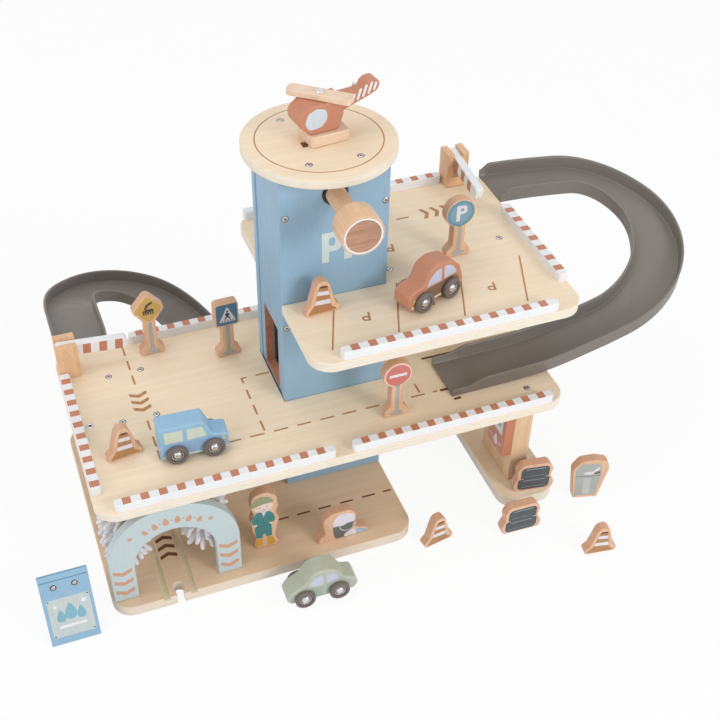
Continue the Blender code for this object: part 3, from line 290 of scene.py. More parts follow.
def make(name, shells, finish, body, replaces=(), crease=30.0):
    """Piece made of closed shells: their millimetres become the frame's metres in its mesh."""
    data = bpy.data.meshes.new(name)
    points = np.concatenate([shell[0] for shell in shells]) * 0.001 + ORIGIN
    faces, places, start = [], [], 0
    for shell_points, groups, textures in shells:
        for index, group in enumerate(groups):
            faces += (group + start).tolist()
            places.append(textures[index] if textures else np.zeros(group.shape + (2,)))
        start += len(shell_points)
    data.from_pydata(points.tolist(), [], faces)
    if any(shell[2] for shell in shells):
        layer = data.uv_layers.new(name="along")
        flat = np.concatenate([place.reshape(-1, 2) for place in places])
        layer.data.foreach_set("uv", flat.ravel())
    data.materials.append(finish)
    data.shade_smooth()
    data.set_sharp_from_angle(angle=math.radians(crease))
    thing = bpy.data.objects.new(name, data)
    bpy.context.scene.collection.objects.link(thing)
    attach(thing, body)
    if replaces:
        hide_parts(*replaces)
    return thing


# Finishes

def shade(red, green, blue):
    """Linear colour from the sRGB values 0 to 255 that the surface shows in plain light."""
    value = np.array([red, green, blue]) / 255.0
    linear = np.where(value <= 0.04045, value / 12.92, ((value + 0.055) / 1.055) ** 2.4)
    return (*linear.tolist(), 1.0)


def wired(tree, kind, inputs, output=0, **settings):
    """New node in a tree. An input takes a number, a colour or another node's output."""
    node = tree.nodes.new("ShaderNode" + kind)
    for key, value in settings.items():
        setattr(node, key, value)
    for key, value in inputs.items():
        if isinstance(value, bpy.types.NodeSocket):
            tree.links.new(value, node.inputs[key])
        else:
            node.inputs[key].default_value = value
    return node.outputs[output]


def toned(colour, share):
    """Linear colour made darker or lighter by a factor, up to full white."""
    return tuple(min(1.0, part * share) for part in colour[:3]) + (1.0,)


class Finish:
    """A node material in the making."""

    def __init__(self, name, roughness=0.5, **uniform):
        self.material = bpy.data.materials.new(name)
        self.material.use_nodes = True
        self.tree = self.material.node_tree
        self.shader = self.tree.nodes["Principled BSDF"]
        self.shader.inputs["Roughness"].default_value = roughness
        for socket, value in uniform.items():
            self.shader.inputs[socket.replace("_", " ")].default_value = value
        self.place = self.add("TexCoord", {}, "Object")
        self.height = None

    def add(self, kind, inputs, output=0, **settings):
        return wired(self.tree, kind, inputs, output, **settings)

    def noise(self, scale, stretch=(1.0, 1.0, 1.0), detail=4.0):
        """Noise with features about 1 / scale metres wide, longer along the axes where the
        stretch is small."""
        mapped = self.add("Mapping", {"Vector": self.place, "Scale": stretch})
        return self.add("TexNoise", {"Vector": mapped, "Scale": scale, "Detail": detail,
                                     "Roughness": 0.55})

    def math(self, operation, first, second=0.0):
        return self.add("Math", {0: first, 1: second}, operation=operation)

    def span(self, value, low, high, to_low=0.0, to_high=1.0):
        """The value's run from low to high becomes to_low to to_high, with soft ends."""
        return self.add("MapRange", {"Value": value, "From Min": low, "From Max": high,
                                     "To Min": to_low, "To Max": to_high},
                        interpolation_type="SMOOTHSTEP")

    def mix(self, share, first, second):
        return self.add("Mix", {0: share, 6: first, 7: second}, 2, data_type="RGBA")

    def sum(self, first, share, second):
        """The first value times its share, and the second times the rest."""
        return self.math("ADD", self.math("MULTIPLY", first, share),
                         self.math("MULTIPLY", second, round(1 - share, 2)))

    def normal(self, axis):
        """How much the surface faces an axis, without its sign."""
        facing = self.add("NewGeometry", {}, "Normal")
        return self.math("ABSOLUTE", self.add("SeparateXYZ", {"Vector": facing}, axis))

    def colour(self, value):
        self.tree.links.new(value, self.shader.inputs["Base Color"])

    def rough(self, value, low, high):
        self.tree.links.new(self.span(value, 0.3, 0.7, low, high),
                            self.shader.inputs["Roughness"])

    def bump(self, height, depth):
        """Relief whose full height is depth metres; calls add up."""
        inputs = {"Height": height, "Strength": 1.0, "Distance": depth}
        if self.height is not None:
            inputs["Normal"] = self.height
        self.height = self.add("Bump", inputs)
        self.tree.links.new(self.height, self.shader.inputs["Normal"])


def ply(name, pale, dark, edge, along=(0.04, 1.0, 1.0)):
    """Birch ply: long soft streaks and short pores on its faces, glued layers on its edges."""
    made = Finish(name, 0.55, Coat_Weight=0.08, Coat_Roughness=0.4)
    streak = made.noise(170.0, along, 5.0)
    cloud = made.noise(11.0, (0.5, 1.0, 1.0), 2.0)
    face = made.mix(made.span(made.sum(streak, 0.6, cloud), 0.30, 0.74), dark, pale)
    pores = made.noise(1500.0, tuple(1.0 if step > 0.5 else 0.05 for step in along), 2.0)
    face = made.mix(made.span(pores, 0.60, 0.76, 0.0, 0.22), face, shade(190, 158, 124))
    height = made.add("SeparateXYZ", {"Vector": made.place}, 2)
    waver = made.math("MULTIPLY", made.noise(60.0, detail=2.0), 0.0007)
    layers = made.math("SINE", made.math("MULTIPLY", made.math("ADD", height, waver),
                                         math.tau / 0.0036))
    grain = made.noise(700.0, (0.12, 0.12, 1.0), 3.0)
    rind = made.mix(made.span(layers, 0.35, 1.0, 0.0, 0.6), edge, dark)
    rind = made.mix(made.span(grain, 0.45, 0.75, 0.0, 0.25), rind, shade(190, 168, 138))
    side = made.span(made.normal(2), 0.35, 0.75)
    made.colour(made.mix(side, rind, face))
    made.rough(streak, 0.48, 0.62)
    made.bump(made.noise(420.0, along, 3.0), 0.00008)
    return made.material


def solid_wood(name, pale, dark, along, end=None, scale=240.0):
    """Close-grained hardwood: streaks and dark flecks along the grain; end is the darker tone of
    the faces that the saw cut, which look away from the front."""
    made = Finish(name, 0.5, Coat_Weight=0.1, Coat_Roughness=0.35)
    streak = made.noise(scale, along, 6.0)
    cloud = made.noise(26.0, detail=2.0)
    face = made.mix(made.span(made.sum(streak, 0.65, cloud), 0.34, 0.68), dark, pale)
    fleck = made.noise(1300.0, tuple(1.0 if step > 0.5 else 0.14 for step in along), 1.0)
    face = made.mix(made.span(fleck, 0.62, 0.72, 0.0, 0.35), face, toned(dark, 0.62))
    if end:
        sawn = made.mix(made.span(made.noise(520.0, (1, 1, 0.12), 4.0), 0.3, 0.7), end, dark)
        face = made.mix(made.span(made.normal(1), 0.45, 0.8), sawn, face)
    made.colour(face)
    made.rough(streak, 0.42, 0.56)
    made.bump(made.noise(600.0, along, 3.0), 0.0001)
    return made.material


def painted(name, colour, along=(1.0, 1.0, 0.1), roughness=0.48, mottle=0.02, relief=0.00004):
    """Brushed paint on wood: the coat varies a little in tone, the grain shows through it."""
    made = Finish(name, roughness, Coat_Weight=0.06, Coat_Roughness=0.3)
    tone = made.sum(made.noise(38.0, detail=3.0), 0.5, made.noise(420.0, along, 4.0))
    made.colour(made.mix(made.span(tone, 0.34, 0.66), toned(colour, 1 - 2.2 * mottle),
                         toned(colour, 1 + mottle)))
    made.rough(made.noise(240.0, along, 3.0), roughness - 0.06, roughness + 0.07)
    made.bump(made.noise(520.0, along, 4.0), relief)
    return made.material


def printed(name, colour, roughness=0.5):
    """Ink on varnished wood: flat colour with a faint break-up."""
    return painted(name, colour, (1.0, 1.0, 0.15), roughness, 0.03)


def burnt(name, colour):
    """Lines burnt into the wood: darker in the middle, uneven along their length."""
    made = Finish(name, 0.75)
    uneven = made.noise(300.0)
    made.colour(made.mix(made.span(uneven, 0.3, 0.7), toned(colour, 0.74), colour))
    made.bump(uneven, 0.00012)
    return made.material


def moulded(name, colour, roughness=0.42, relief=0.00005):
    """Moulded plastic: an even colour with a fine sparked texture and faint flow marks."""
    made = Finish(name, roughness)
    flow = made.noise(7.0, detail=1.0)
    made.colour(made.mix(made.span(flow, 0.3, 0.7), colour, toned(colour, 1.07)))
    made.rough(made.noise(90.0, detail=3.0), roughness - 0.05, roughness + 0.08)
    made.bump(made.noise(2600.0, detail=2.0), relief)
    return made.material


def metal(name, colour, roughness):
    """Bright metal, darker and duller where fine noise scuffs it."""
    made = Finish(name, roughness, Metallic=1.0)
    scuff = made.noise(900.0, detail=3.0)
    made.colour(made.mix(made.span(scuff, 0.35, 0.7), toned(colour, 0.86), colour))
    made.rough(scuff, roughness, roughness + 0.12)
    return made.material


def yarn(name, colour, shadow, twist, pitch, relief):
    """Twisted cotton: the plies cross the strand at an angle, in the texture's own run, and fine
    fibres lie along them. twist is the plies round the strand, pitch their length in mm."""
    made = Finish(name, 0.9, Sheen_Weight=0.35, Sheen_Roughness=0.6)
    run = made.add("UVMap", {}, 0, uv_map="along")
    round_share = made.add("SeparateXYZ", {"Vector": run}, 0)
    length = made.add("SeparateXYZ", {"Vector": run}, 1)
    phase = made.math("ADD", made.math("MULTIPLY", round_share, float(twist)),
                      made.math("DIVIDE", length, pitch))
    ply_wave = made.math("ABSOLUTE", made.math("SINE", made.math("MULTIPLY", phase, math.pi)))
    fibre = made.noise(2200.0, (1, 1, 0.3), 3.0)
    height = made.math("ADD", ply_wave, made.math("MULTIPLY", fibre, 0.5))
    made.colour(made.mix(made.span(height, 0.25, 1.0), shadow, colour))
    made.bump(height, relief)
    return made.material


def chenille(name, colour, shadow):
    """Brushed cotton pile: short tufts over the whole strand, darker between them."""
    made = Finish(name, 0.95, Sheen_Weight=0.5, Sheen_Roughness=0.5)
    tufts = made.add("TexVoronoi", {"Vector": made.place, "Scale": 1100.0}, "Distance")
    clumps = made.noise(380.0, detail=3.0)
    made.colour(made.mix(made.span(made.math("ADD", tufts, clumps), 0.55, 1.15), colour, shadow))
    made.bump(clumps, 0.0004)
    made.bump(tufts, -0.00018)
    return made.material


BIRCH = ply("birch", shade(248, 230, 204), shade(239, 218, 188), shade(238, 230, 216))
BASE_BIRCH = ply("base_birch", shade(234, 206, 176), shade(225, 194, 161), shade(230, 219, 203))
PILLAR_BEECH = solid_wood("pillar_beech", shade(232, 200, 164), shade(218, 180, 142),
                          (1.0, 1.0, 0.04))
BEECH = solid_wood("beech", shade(232, 192, 160), shade(218, 172, 138), (1.0, 1.0, 0.07),
                   shade(204, 158, 130))
POST_BEECH = solid_wood("post_beech", shade(234, 194, 154), shade(219, 172, 130),
                        (1.0, 1.0, 0.05))
ROTOR_BEECH = solid_wood("rotor_beech", shade(240, 214, 190), shade(228, 196, 168),
                         (0.12, 1.0, 1.0))
KNOB_BEECH = solid_wood("knob_beech", shade(233, 198, 164), shade(218, 178, 140),
                        (1.0, 0.07, 1.0))
KNOB_END = solid_wood("knob_end", shade(196, 152, 124), shade(168, 122, 96), (0.06, 1.0, 1.0),
                      scale=420.0)
RAW_EDGE = solid_wood("raw_edge", shade(206, 150, 122), shade(184, 126, 98), (1.0, 0.1, 1.0))
TOWER_BLUE = painted("tower_blue", shade(146, 180, 205), mottle=0.018)
BOARD_BLUE = painted("board_blue", shade(144, 182, 208))
WHITE = painted("white_paint", shade(236, 237, 239), (0.1, 1.0, 1.0), 0.5, 0.015, 0.00018)
TERRACOTTA = painted("terracotta_paint", shade(196, 128, 98), (0.1, 1.0, 1.0), mottle=0.03,
                     relief=0.00009)
HELI_RED = painted("heli_paint", shade(197, 133, 104))
CAR_RED = painted("car_red_paint", shade(198, 136, 107))
MINT = painted("mint_paint", shade(190, 204, 206), mottle=0.012)
SKY = painted("sky_paint", shade(148, 188, 216))
SAGE = painted("sage_paint", shade(182, 187, 170))
WHITE_INK = printed("white_ink", shade(236, 238, 240))
DARK_BURN = burnt("dark_burn", shade(120, 72, 44))
BROWN_BURN = burnt("brown_burn", shade(192, 142, 98))
RAMP_GREY = moulded("ramp_plastic", shade(124, 117, 111), 0.4)
BLACK_PLASTIC = moulded("black_plastic", shade(38, 38, 40))
TYRE_GREY = moulded("tyre_plastic", shade(112, 102, 98), 0.6, 0.00008)
HUB_DARK = moulded("hub_recess", shade(58, 52, 52), 0.5)
STEEL = metal("steel", shade(205, 205, 208), 0.22)
CHROME = metal("chrome", shade(226, 226, 230), 0.12)
COTTON = chenille("mop_cotton", shade(248, 246, 248), shade(232, 229, 234))
CORD = yarn("cord_cotton", shade(222, 208, 186), shade(168, 150, 124), 2, 3.0, 0.00012)


# Plates, decks and kerbs

EASED = (0.9, 0.9)  # both edges of a board
BASE_WIDE, BASE_DEEP, BASE_CORNER = 300, 255, 20.0
NOTCH_X, NOTCH_RADIUS, NOTCH_REACH = 61.7, 5.8, 9.5
NECK = (58.2, 65.2)  # the notch's mouth
GROOVES = ((45.7, 51.7), (71.7, 77.7))
GROOVE_FLOOR = 9.5
HOLE_LEFT, HOLE_FRONT, HOLE_RIGHT, HOLE_BACK = 198.6, 98.5, 300.3, 181.8  # round the tower
KERB = 9.0
STRIPE = 3.7  # half a stripe's width
KERB_BARS = [
    # deck's top, x, y, length along x, length along y, first stripe's middle, stripe pitch, count
    (MID_TOP, 0.6, 38.5, 9.8, 160.5, 44.5, 15.82, 10),
    (MID_TOP, 17.0, 11.0, 203.4, KERB, 27.95, 16.24, 12),
    (MID_TOP, 237.6, 11.0, 206.1, KERB, 250.2, 16.46, 12),
    (MID_TOP, 77.0, 232.0, 202.0, KERB, 88.0, 16.3, 12),
    (TOP_TOP, 224.6, 8.5, 207.0, KERB, 237.0, 16.3, 12),
    (TOP_TOP, 450.4, 46.0, 9.8, 124.5, 57.2, 16.9, 7),
    (TOP_TOP, 205.6, 239.0, 211.0, KERB, 221.1, 16.7, 12),
]


def notched_plate():
    """The base plate: a full layer with track notches in both ends, and above it three strips
    between the two rail grooves."""
    turn = math.degrees(math.asin((NECK[1] - NECK[0]) / 2 / NOTCH_RADIUS))
    front = arc(NOTCH_X, NOTCH_REACH, NOTCH_RADIUS, 270 - turn, -90 + turn, 28)
    back = arc(NOTCH_X, BASE_DEEP - NOTCH_REACH, NOTCH_RADIUS, 90 - turn, -270 + turn, 28)
    near, right, rear = BASE_CORNER, BASE_WIDE - BASE_CORNER, BASE_DEEP - BASE_CORNER
    left_front = arc(near, near, near, 180, 270)
    right_side = shaped(arc(right, near, near, -90, 0), arc(right, rear, near, 0, 90))
    left_back = arc(near, rear, near, 90, 180)
    (first, second), (third, fourth) = GROOVES
    neck_front = shaped((NECK[0], 0), front, (NECK[1], 0))
    neck_back = shaped((NECK[1], BASE_DEEP), back, (NECK[0], BASE_DEEP))
    layers = [board([shaped(left_front, neck_front, right_side, neck_back, left_back)],
                    0.0, GROOVE_FLOOR, level(), (0.9, 0.0))]
    strips = (shaped(left_front, (first, 0), (first, BASE_DEEP), left_back),
              shaped((second, 0), neck_front, (third, 0), (third, BASE_DEEP), neck_back,
                     (second, BASE_DEEP)),
              shaped((fourth, 0), right_side, (fourth, BASE_DEEP)))
    return layers + [board([strip], GROOVE_FLOOR, BASE_TOP, level(), (0.0, 0.6))
                     for strip in strips]


make("base_board", notched_plate(), BASE_BIRCH, "garage", ["base_plate"])
make("groove_floors", [board([box(low + 0.2, 0.7, high - 0.2, BASE_DEEP - 0.7)],
                             GROOVE_FLOOR - 0.1, GROOVE_FLOOR + INK, level())
                       for low, high in GROOVES],
     ply("groove_birch", shade(244, 232, 200), shade(232, 218, 184), shade(236, 226, 204)),
     "garage")
make("fuel_board", [board([box(399.2, 0, 460, 243, 20, 20)], 0.0, BASE_TOP, level(), EASED)],
     BIRCH, "garage", ["fuel_base_plate"])
tower_hole = box(HOLE_LEFT, HOLE_FRONT, HOLE_RIGHT, HOLE_BACK)
make("mid_board", [board([box(0, 10, 460, 242, 21, 20), tower_hole], MID_TOP - PLY, MID_TOP,
                         level(), EASED)], BIRCH, "garage", ["mid_deck"])
top_outline = shaped(
    arc(219.9, 28.5, 21, 180, 270), arc(439, 28.5, 21, -90, 0), arc(439, 228, 21, 0, 90),
    arc(219.9, 228, 21, 90, 180), (198.9, HOLE_BACK), (HOLE_RIGHT, HOLE_BACK),
    (HOLE_RIGHT, HOLE_FRONT), (198.9, HOLE_FRONT))
make("top_board", [board([top_outline], TOP_TOP - PLY, TOP_TOP, level(), EASED)], BIRCH,
     "garage", ["top_deck"])
make("kerb_bars", [board([box(x, y, x + along, y + across, 3.0)], top - 0.02, top + KERB, level(),
                         (0.0, 0.8)) for top, x, y, along, across, *_ in KERB_BARS],
     WHITE, "garage")


def kerb_stripes():
    """Stripes of paint across the top of each bar, a pitch apart."""
    stripes = []
    for top, x, y, along, across, first, pitch, count in KERB_BARS:
        for middle in first + pitch * np.arange(count):
            if along > across:
                outline = box(middle - STRIPE, y + 0.5, middle + STRIPE, y + across - 0.5)
            else:
                outline = box(x + 0.5, middle - STRIPE, x + along - 0.5, middle + STRIPE)
            stripes.append(board([outline], top + KERB - 0.1, top + KERB + INK, level()))
    return stripes


make("kerb_stripes", kerb_stripes(), TERRACOTTA, "garage")


# Lines burnt into the decks

def stroke(start, end, width):
    """Outline of a straight line with square ends."""
    start, end = np.asarray(start, float), np.asarray(end, float)
    along = (end - start) / np.linalg.norm(end - start)
    side = np.array([-along[1], along[0]]) * width / 2
    return np.array([start - side, end - side, end + side, start + side])


def chevron(u, v, half_wide, rise, thick, degrees=0.0):
    """Arrow stroke with its tip at (u, v), pointing along +v before it is turned."""
    shape = np.array([(0, 0), (-half_wide, -rise), (-half_wide, -rise - thick), (0, -thick),
                      (half_wide, -rise - thick), (half_wide, -rise)], float)
    return shape @ turning(degrees) + [u, v]


def dashes(line, spans, across=False):
    """Dashes on one line of the deck: along x, or along y when across is set."""
    return [stroke((line, low), (line, high), 2.0) if across else
            stroke((low, line), (high, line), 2.0) for low, high in spans]


def lines(name, outlines, z, finish):
    """Thin shells on a level surface. An outline is a loop, or a tuple of it and its holes."""
    make(name, [board(outline if isinstance(outline, tuple) else [outline], z - 0.1, z + INK,
                      level()) for outline in outlines], finish, "garage")


def letter_p(u, v, height, degrees):
    """The letter P: a stem, and a bowl with its hole."""
    width, pen = 0.66 * height, 0.17 * height
    bowl = 0.56 * height
    outer = rounded([(0, 0, 0), (pen, 0, 0), (pen, height - bowl, 0),
                     (width, height - bowl, 0.45 * bowl), (width, height, 0.45 * bowl),
                     (0, height, 0)])
    inner = box(pen, height - bowl + pen, width - pen, height - pen, 0.25 * bowl)
    return tuple((loop - [width / 2, height / 2]) @ turning(degrees) + [u, v]
                 for loop in (outer, inner))


lines("mid_deck_lines", [
    *dashes(68.4, [(216.2, 230.5), (193.5, 207.5), (170.5, 184.5), (103.2, 116.8), (80.2, 94.2),
                   (62.5, 75.0)], True),
    *dashes(168.6, [(137.0, 145.3), (113.0, 127.0), (90.2, 104.0), (67.0, 81.2)], True),
    *dashes(144.3, [(169.6, 173.8), (183.0, 197.0)]),
    *dashes(63.2, [(107.0, 121.0), (133.0, 144.6), (153.5, 167.5), (176.7, 190.5), (199.6, 213.4),
                   (222.6, 236.8), (244.8, 259.2), (268.8, 282.8), (292.0, 306.0), (315.8, 330.2),
                   (339.2, 344.0)]),
    *dashes(326.6, [(66.8, 80.5)], True),
    *[chevron(68.1, tip, 8.4, 4.0, 4.4, 180) for tip in (150.5, 140.3, 130.1)]],
    MID_TOP, BROWN_BURN)
lines("ramp_slots", [box(346.5, 61.2, 357, 64.4), box(348, 110.9, 392, 113.4),
                     box(354.5, 45.5, 362, 48.5)], MID_TOP, DARK_BURN)
lines("top_deck_lines", [
    *[stroke(start, end, 1.6) for start, end in (
        ((221.0, 25.0), (247.0, 94.0)), ((284.2, 28.8), (309.0, 96.0)),
        ((348.4, 30.0), (373.0, 96.5)), ((411.2, 30.8), (435.6, 96.5)))],
    stroke((348.0, 192.0), (361.2, 192.0), 2.0),
    *[chevron(tip, 192.4, 8.4, 4.2, 4.3, -90) for tip in (383.1, 394.1, 405.1)],
    *[letter_p(x, y, 12.0, 168.0) for x, y in ((264.5, 58.6), (389.5, 62.0), (327.0, 60.0),
                                               (323.5, 149.0))]], TOP_TOP, BROWN_BURN)
lines("base_lines", [
    *dashes(56.8, [(150.0, 163.5), (173.0, 186.2), (195.2, 208.8), (218.2, 231.4), (241.3, 255.0),
                   (265.0, 279.2), (288.0, 296.8)]),
    *[chevron(61.8, tip, 8.2, 3.6, 4.4) for tip in (75.6, 64.6, 53.8)]], BASE_TOP, DARK_BURN)


# Screws

SCREW = 2.7  # a head's radius
EYELET = level(16.4, 127.6, MID_TOP)


def screw(place):
    """Countersunk head: a shallow dome with a round socket."""
    dome = [(0, -0.6), (SCREW, -0.6), (SCREW, 0.05), (0.9 * SCREW, 0.22), (0.7 * SCREW, 0.36),
            (0.5 * SCREW, 0.4), (0.42 * SCREW, 0.3), (0.4 * SCREW, -0.2), (0, -0.2)]
    return turned(dome, place, 28)


def socket(place):
    """Dark floor of a screw's socket, and the dark seat round its head."""
    inner = turned([(0, -0.3), (0.39 * SCREW, -0.3), (0.39 * SCREW, 0.12), (0, 0.12)], place, 24)
    seat = [(0.96 * SCREW, -0.3), (1.22 * SCREW, -0.3), (1.22 * SCREW, INK), (0.96 * SCREW, INK)]
    return [inner, turned(seat, place, 28)]


def eyelet(place, inner, outer, height):
    """Rolled ring round a hole."""
    middle, half = (inner + outer) / 2, (outer - inner) / 2
    turn = np.linspace(0, math.tau, 17)[:-1]
    return turned(np.column_stack([middle + half * np.cos(turn), height * np.sin(turn)]),
                  place, 32)


screw_places = [level(x, y, z) for z, spots in (
    (MID_TOP, ((46.5, 190.5), (78.4, 190.8), (46.4, 122.6), (78.7, 122.5), (428.6, 37.8),
               (428.6, 218.0), (16.4, 218.0))),
    (TOP_TOP, ((310.8, 117.4), (430.6, 130.0), (310.8, 163.0))),
    (ROOF_TOP, ((227.0, 179.5), (227.0, 101.2), (273.0, 101.3), (273.0, 179.5))))
                for x, y in spots]
screw_places += [upright(x, 98.8, z) for x, z in ((204.2, 339.3), (296.2, 339.0), (203.0, 219.9),
                                                  (297.0, 219.9), (203.2, 100.0), (296.8, 100.0))]
screw_places += [upright(x, 181.5, z, 180) for x in (204.2, 296.2) for z in (339.3, 219.9, 100.0)]
make("steel_screws", [screw(place) for place in screw_places] + [eyelet(EYELET, 1.4, 3.6, 0.5)],
     STEEL, "garage", crease=40)
make("screw_sockets", [shell for place in screw_places for shell in socket(place)],
     burnt("screw_shadow", shade(112, 104, 98)), "garage")
# Painted shade: a black disc inside the eyelet stands for the dark of a hole that the deck does not
# have
make("eyelet_hole_shade", [turned([(0, -0.2), (1.5, -0.2), (1.5, 0.06), (0, 0.06)], EYELET, 24)],
     BLACK_PLASTIC, "garage")


# Tower, roof and the pieces that keep the solids' own shape

TOWER_MIDDLE, TOWER_FRONT = 249.45, 98.8
ROOF_CENTRE = level(TOWER_MIDDLE, 140.15)


def dress(finish, *nodes):
    """Give solids that are shown as they are their finish."""
    for node in nodes:
        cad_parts[node].data.materials.clear()
        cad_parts[node].data.materials.append(finish)


def door_liner(x, low):
    """Raw sawn edge round a doorway, a hair inside its opening."""
    opening = box(119.0, low + 0.1, 161.3, low + 74.0)
    return board([opening, inset(opening, 0.35)], -0.05, 9.05, upright(x, 0, 0, 90))


dress(TOWER_BLUE, "tower_front", "tower_back", "tower_left", "tower_right")
make("doorway_edges", [door_liner(200.1, BASE_TOP + 0.3), door_liner(200.1, MID_TOP),
                       door_liner(289.8, TOP_TOP)], RAW_EDGE, "garage")
roof = [(0, ROOF_UNDER), (67.5, ROOF_UNDER), (68.1, ROOF_UNDER + 0.25), (68.4, ROOF_UNDER + 0.9),
        (68.4, ROOF_TOP - 1.3), (68.1, ROOF_TOP - 0.5), (67.3, ROOF_TOP - 0.05),
        (66.6, ROOF_TOP), (56.4, ROOF_TOP), (56.1, ROOF_TOP), (55.7, ROOF_TOP - 0.5),
        (55.3, ROOF_TOP), (55.0, ROOF_TOP), (0, ROOF_TOP)]
make("roof_board", [turned(roof, ROOF_CENTRE, 160)], BIRCH, "garage", ["roof_disc"])
ring = [(55.1, ROOF_TOP - 0.2), (55.7, ROOF_TOP - 0.42), (56.3, ROOF_TOP - 0.2),
        (56.3, ROOF_TOP + 0.03), (55.1, ROOF_TOP + 0.03)]
make("roof_ring", [turned(ring, ROOF_CENTRE, 160)], BROWN_BURN, "garage")
# The landing place's wide, low letter H
lines("landing_letter", [box(231.2, 128.8, 235.8, 137.4), box(263.2, 128.8, 267.8, 137.4),
                         box(235.8, 131.3, 263.2, 134.9)], ROOF_TOP, DARK_BURN)


def tower_letters():
    """The level's sign on the tower's front: P1 in plain strokes."""
    place = upright(0, TOWER_FRONT, 0)
    outer = [(237.2, 285.2, 0), (243.8, 285.2, 0), (243.8, 296.4, 0), (255.4, 296.4, 9.0),
             (255.4, 316.6, 9.0), (237.2, 316.6, 0)]
    inner = box(243.8, 302.2, 249.6, 311.2, 3.4)
    one = [(258.0, 285.2), (265.6, 285.2), (265.6, 316.6), (260.6, 316.6), (254.8, 311.4),
           (254.8, 305.8), (259.2, 309.2)]
    return [board([outer, inner], -0.1, INK, place), board([one], -0.1, INK, place)]


make("tower_letters", tower_letters(), printed("pale_green_ink", shade(206, 220, 218)), "garage")
dress(BIRCH, "lift_floor", "top_deck_post")
dress(POST_BEECH, "lift_frame", "left_wash_spindle", "right_wash_spindle")
dress(PILLAR_BEECH, "front_fuel_pillar", "rear_fuel_pillar")


# Winding gear: profiles about the crank's axis, whose w runs forwards from the base's edge

CRANK_Z = 356.0
WINDING_RADIUS = 10.3
CORD_END_Y = 144.05
CORD_LEFT = TOWER_MIDDLE - WINDING_RADIUS
crank = upright(TOWER_MIDDLE, 0, CRANK_Z)
for name, profile, finish, slot, sides, replaced in (
        ("winding_knob", [(0, -31), (17.6, -31), (18.5, -31.4), (19.0, -32.6), (19.0, -53.4),
                          (18.6, -54.4), (17.8, -55), (9.3, -55), (9.3, -43), (0, -43)],
         KNOB_BEECH, "beech", 72, ["crank_knob"]),
        ("knob_end_grain", [(0, -31.2), (17.4, -31.2), (17.4, -31 + INK), (0, -31 + INK)],
         KNOB_END, "beech", 72, []),
        ("knob_ring", [(15.6, -31.1), (17.1, -31.1), (17.1, -30.84), (15.6, -30.84)],
         WHITE_INK, "white_paint", 72, []),
        ("winding_rod", [(0, -43.3), (9, -43.3), (9, -130.2), (13.2, -130.2), (13.5, -130.5),
                         (13.5, -131.9), (13.2, -132.2), (9, -132.2), (9, -148.1),
                         (13.2, -148.1), (13.5, -148.4), (13.5, -149.8), (13.2, -150.1),
                         (9, -150.1), (9, -179.9), (8.5, -180.3), (0, -180.3)],
         KNOB_BEECH, "beech", 56, ["winding_dowel"])):
    make(name, [turned(profile, crank, sides)], finish, "winding", replaced)
bush = [(9.4, -107.8), (10.8, -107.8), (10.8, -98.5), (11.3, -98.5), (11.3, -97.7), (11.1, -97.4),
        (9.6, -97.4), (9.4, -97.6)]
make("rod_bushing", [turned(bush, crank, 56)], BLACK_PLASTIC, "garage",
     ["dowel_bushing"])


def wound_cord():
    """Three turns on the drum: a helix about the crank's axis, then straight down its left side."""
    share = np.linspace(0, 1, 150)
    turn = math.pi - 3 * math.tau * (1 - share)
    coil = np.column_stack([TOWER_MIDDLE + WINDING_RADIUS * np.cos(turn),
                            CORD_END_Y - 7.8 * (1 - share),
                            CRANK_Z + WINDING_RADIUS * np.sin(turn)])
    drop = np.column_stack([np.full(8, CORD_LEFT), np.full(8, CORD_END_Y),
                            CRANK_Z - np.linspace(0.25, 2.0, 8)])
    return np.vstack([coil, drop])


def cord_piece(name, path, body, node):
    """Cord of 2 mm along a path."""
    return make(name, [strands(path[None], 1.0, (0.0, 1.0, 0.0), level())], CORD, body,
                [node])


winding_path = wound_cord()
winding_cord = cord_piece("wound_cord", winding_path, "winding", "cord_winding")
hang_path = np.column_stack([np.full(60, CORD_LEFT), np.full(60, CORD_END_Y),
                             np.linspace(353.7, 88.1, 60)])
hanging_cord = cord_piece("hanging_cord", hang_path, "lift", "lift_cord")


# Ramps

RIGHT_FALL = [0.0, 0.053, 0.265, 0.573, 0.844, 0.985, 1.0]
LEFT_FALL = [0.0, 0.068, 0.325, 0.627, 0.931, 0.997, 1.0]


def fall(shares, t):
    """Cubic curve through equal steps of the ramp's drop; each knot's slope is the harmonic mean
    of its neighbours' steps, so the ramp never climbs."""
    shares = np.asarray(shares)
    step = np.diff(shares)
    slope = np.zeros(len(shares))
    slope[1:-1] = 2 * step[:-1] * step[1:] / np.maximum(step[:-1] + step[1:], 1e-9)
    place = np.clip(t, 0, 1) * (len(shares) - 1)
    index = np.minimum(place.astype(int), len(shares) - 2)
    f = place - index
    return (shares[index] * (2 * f ** 3 - 3 * f ** 2 + 1)
            + shares[index + 1] * (3 * f ** 2 - 2 * f ** 3)
            + slope[index] * (f ** 3 - 2 * f ** 2 + f) + slope[index + 1] * (f ** 3 - f ** 2))


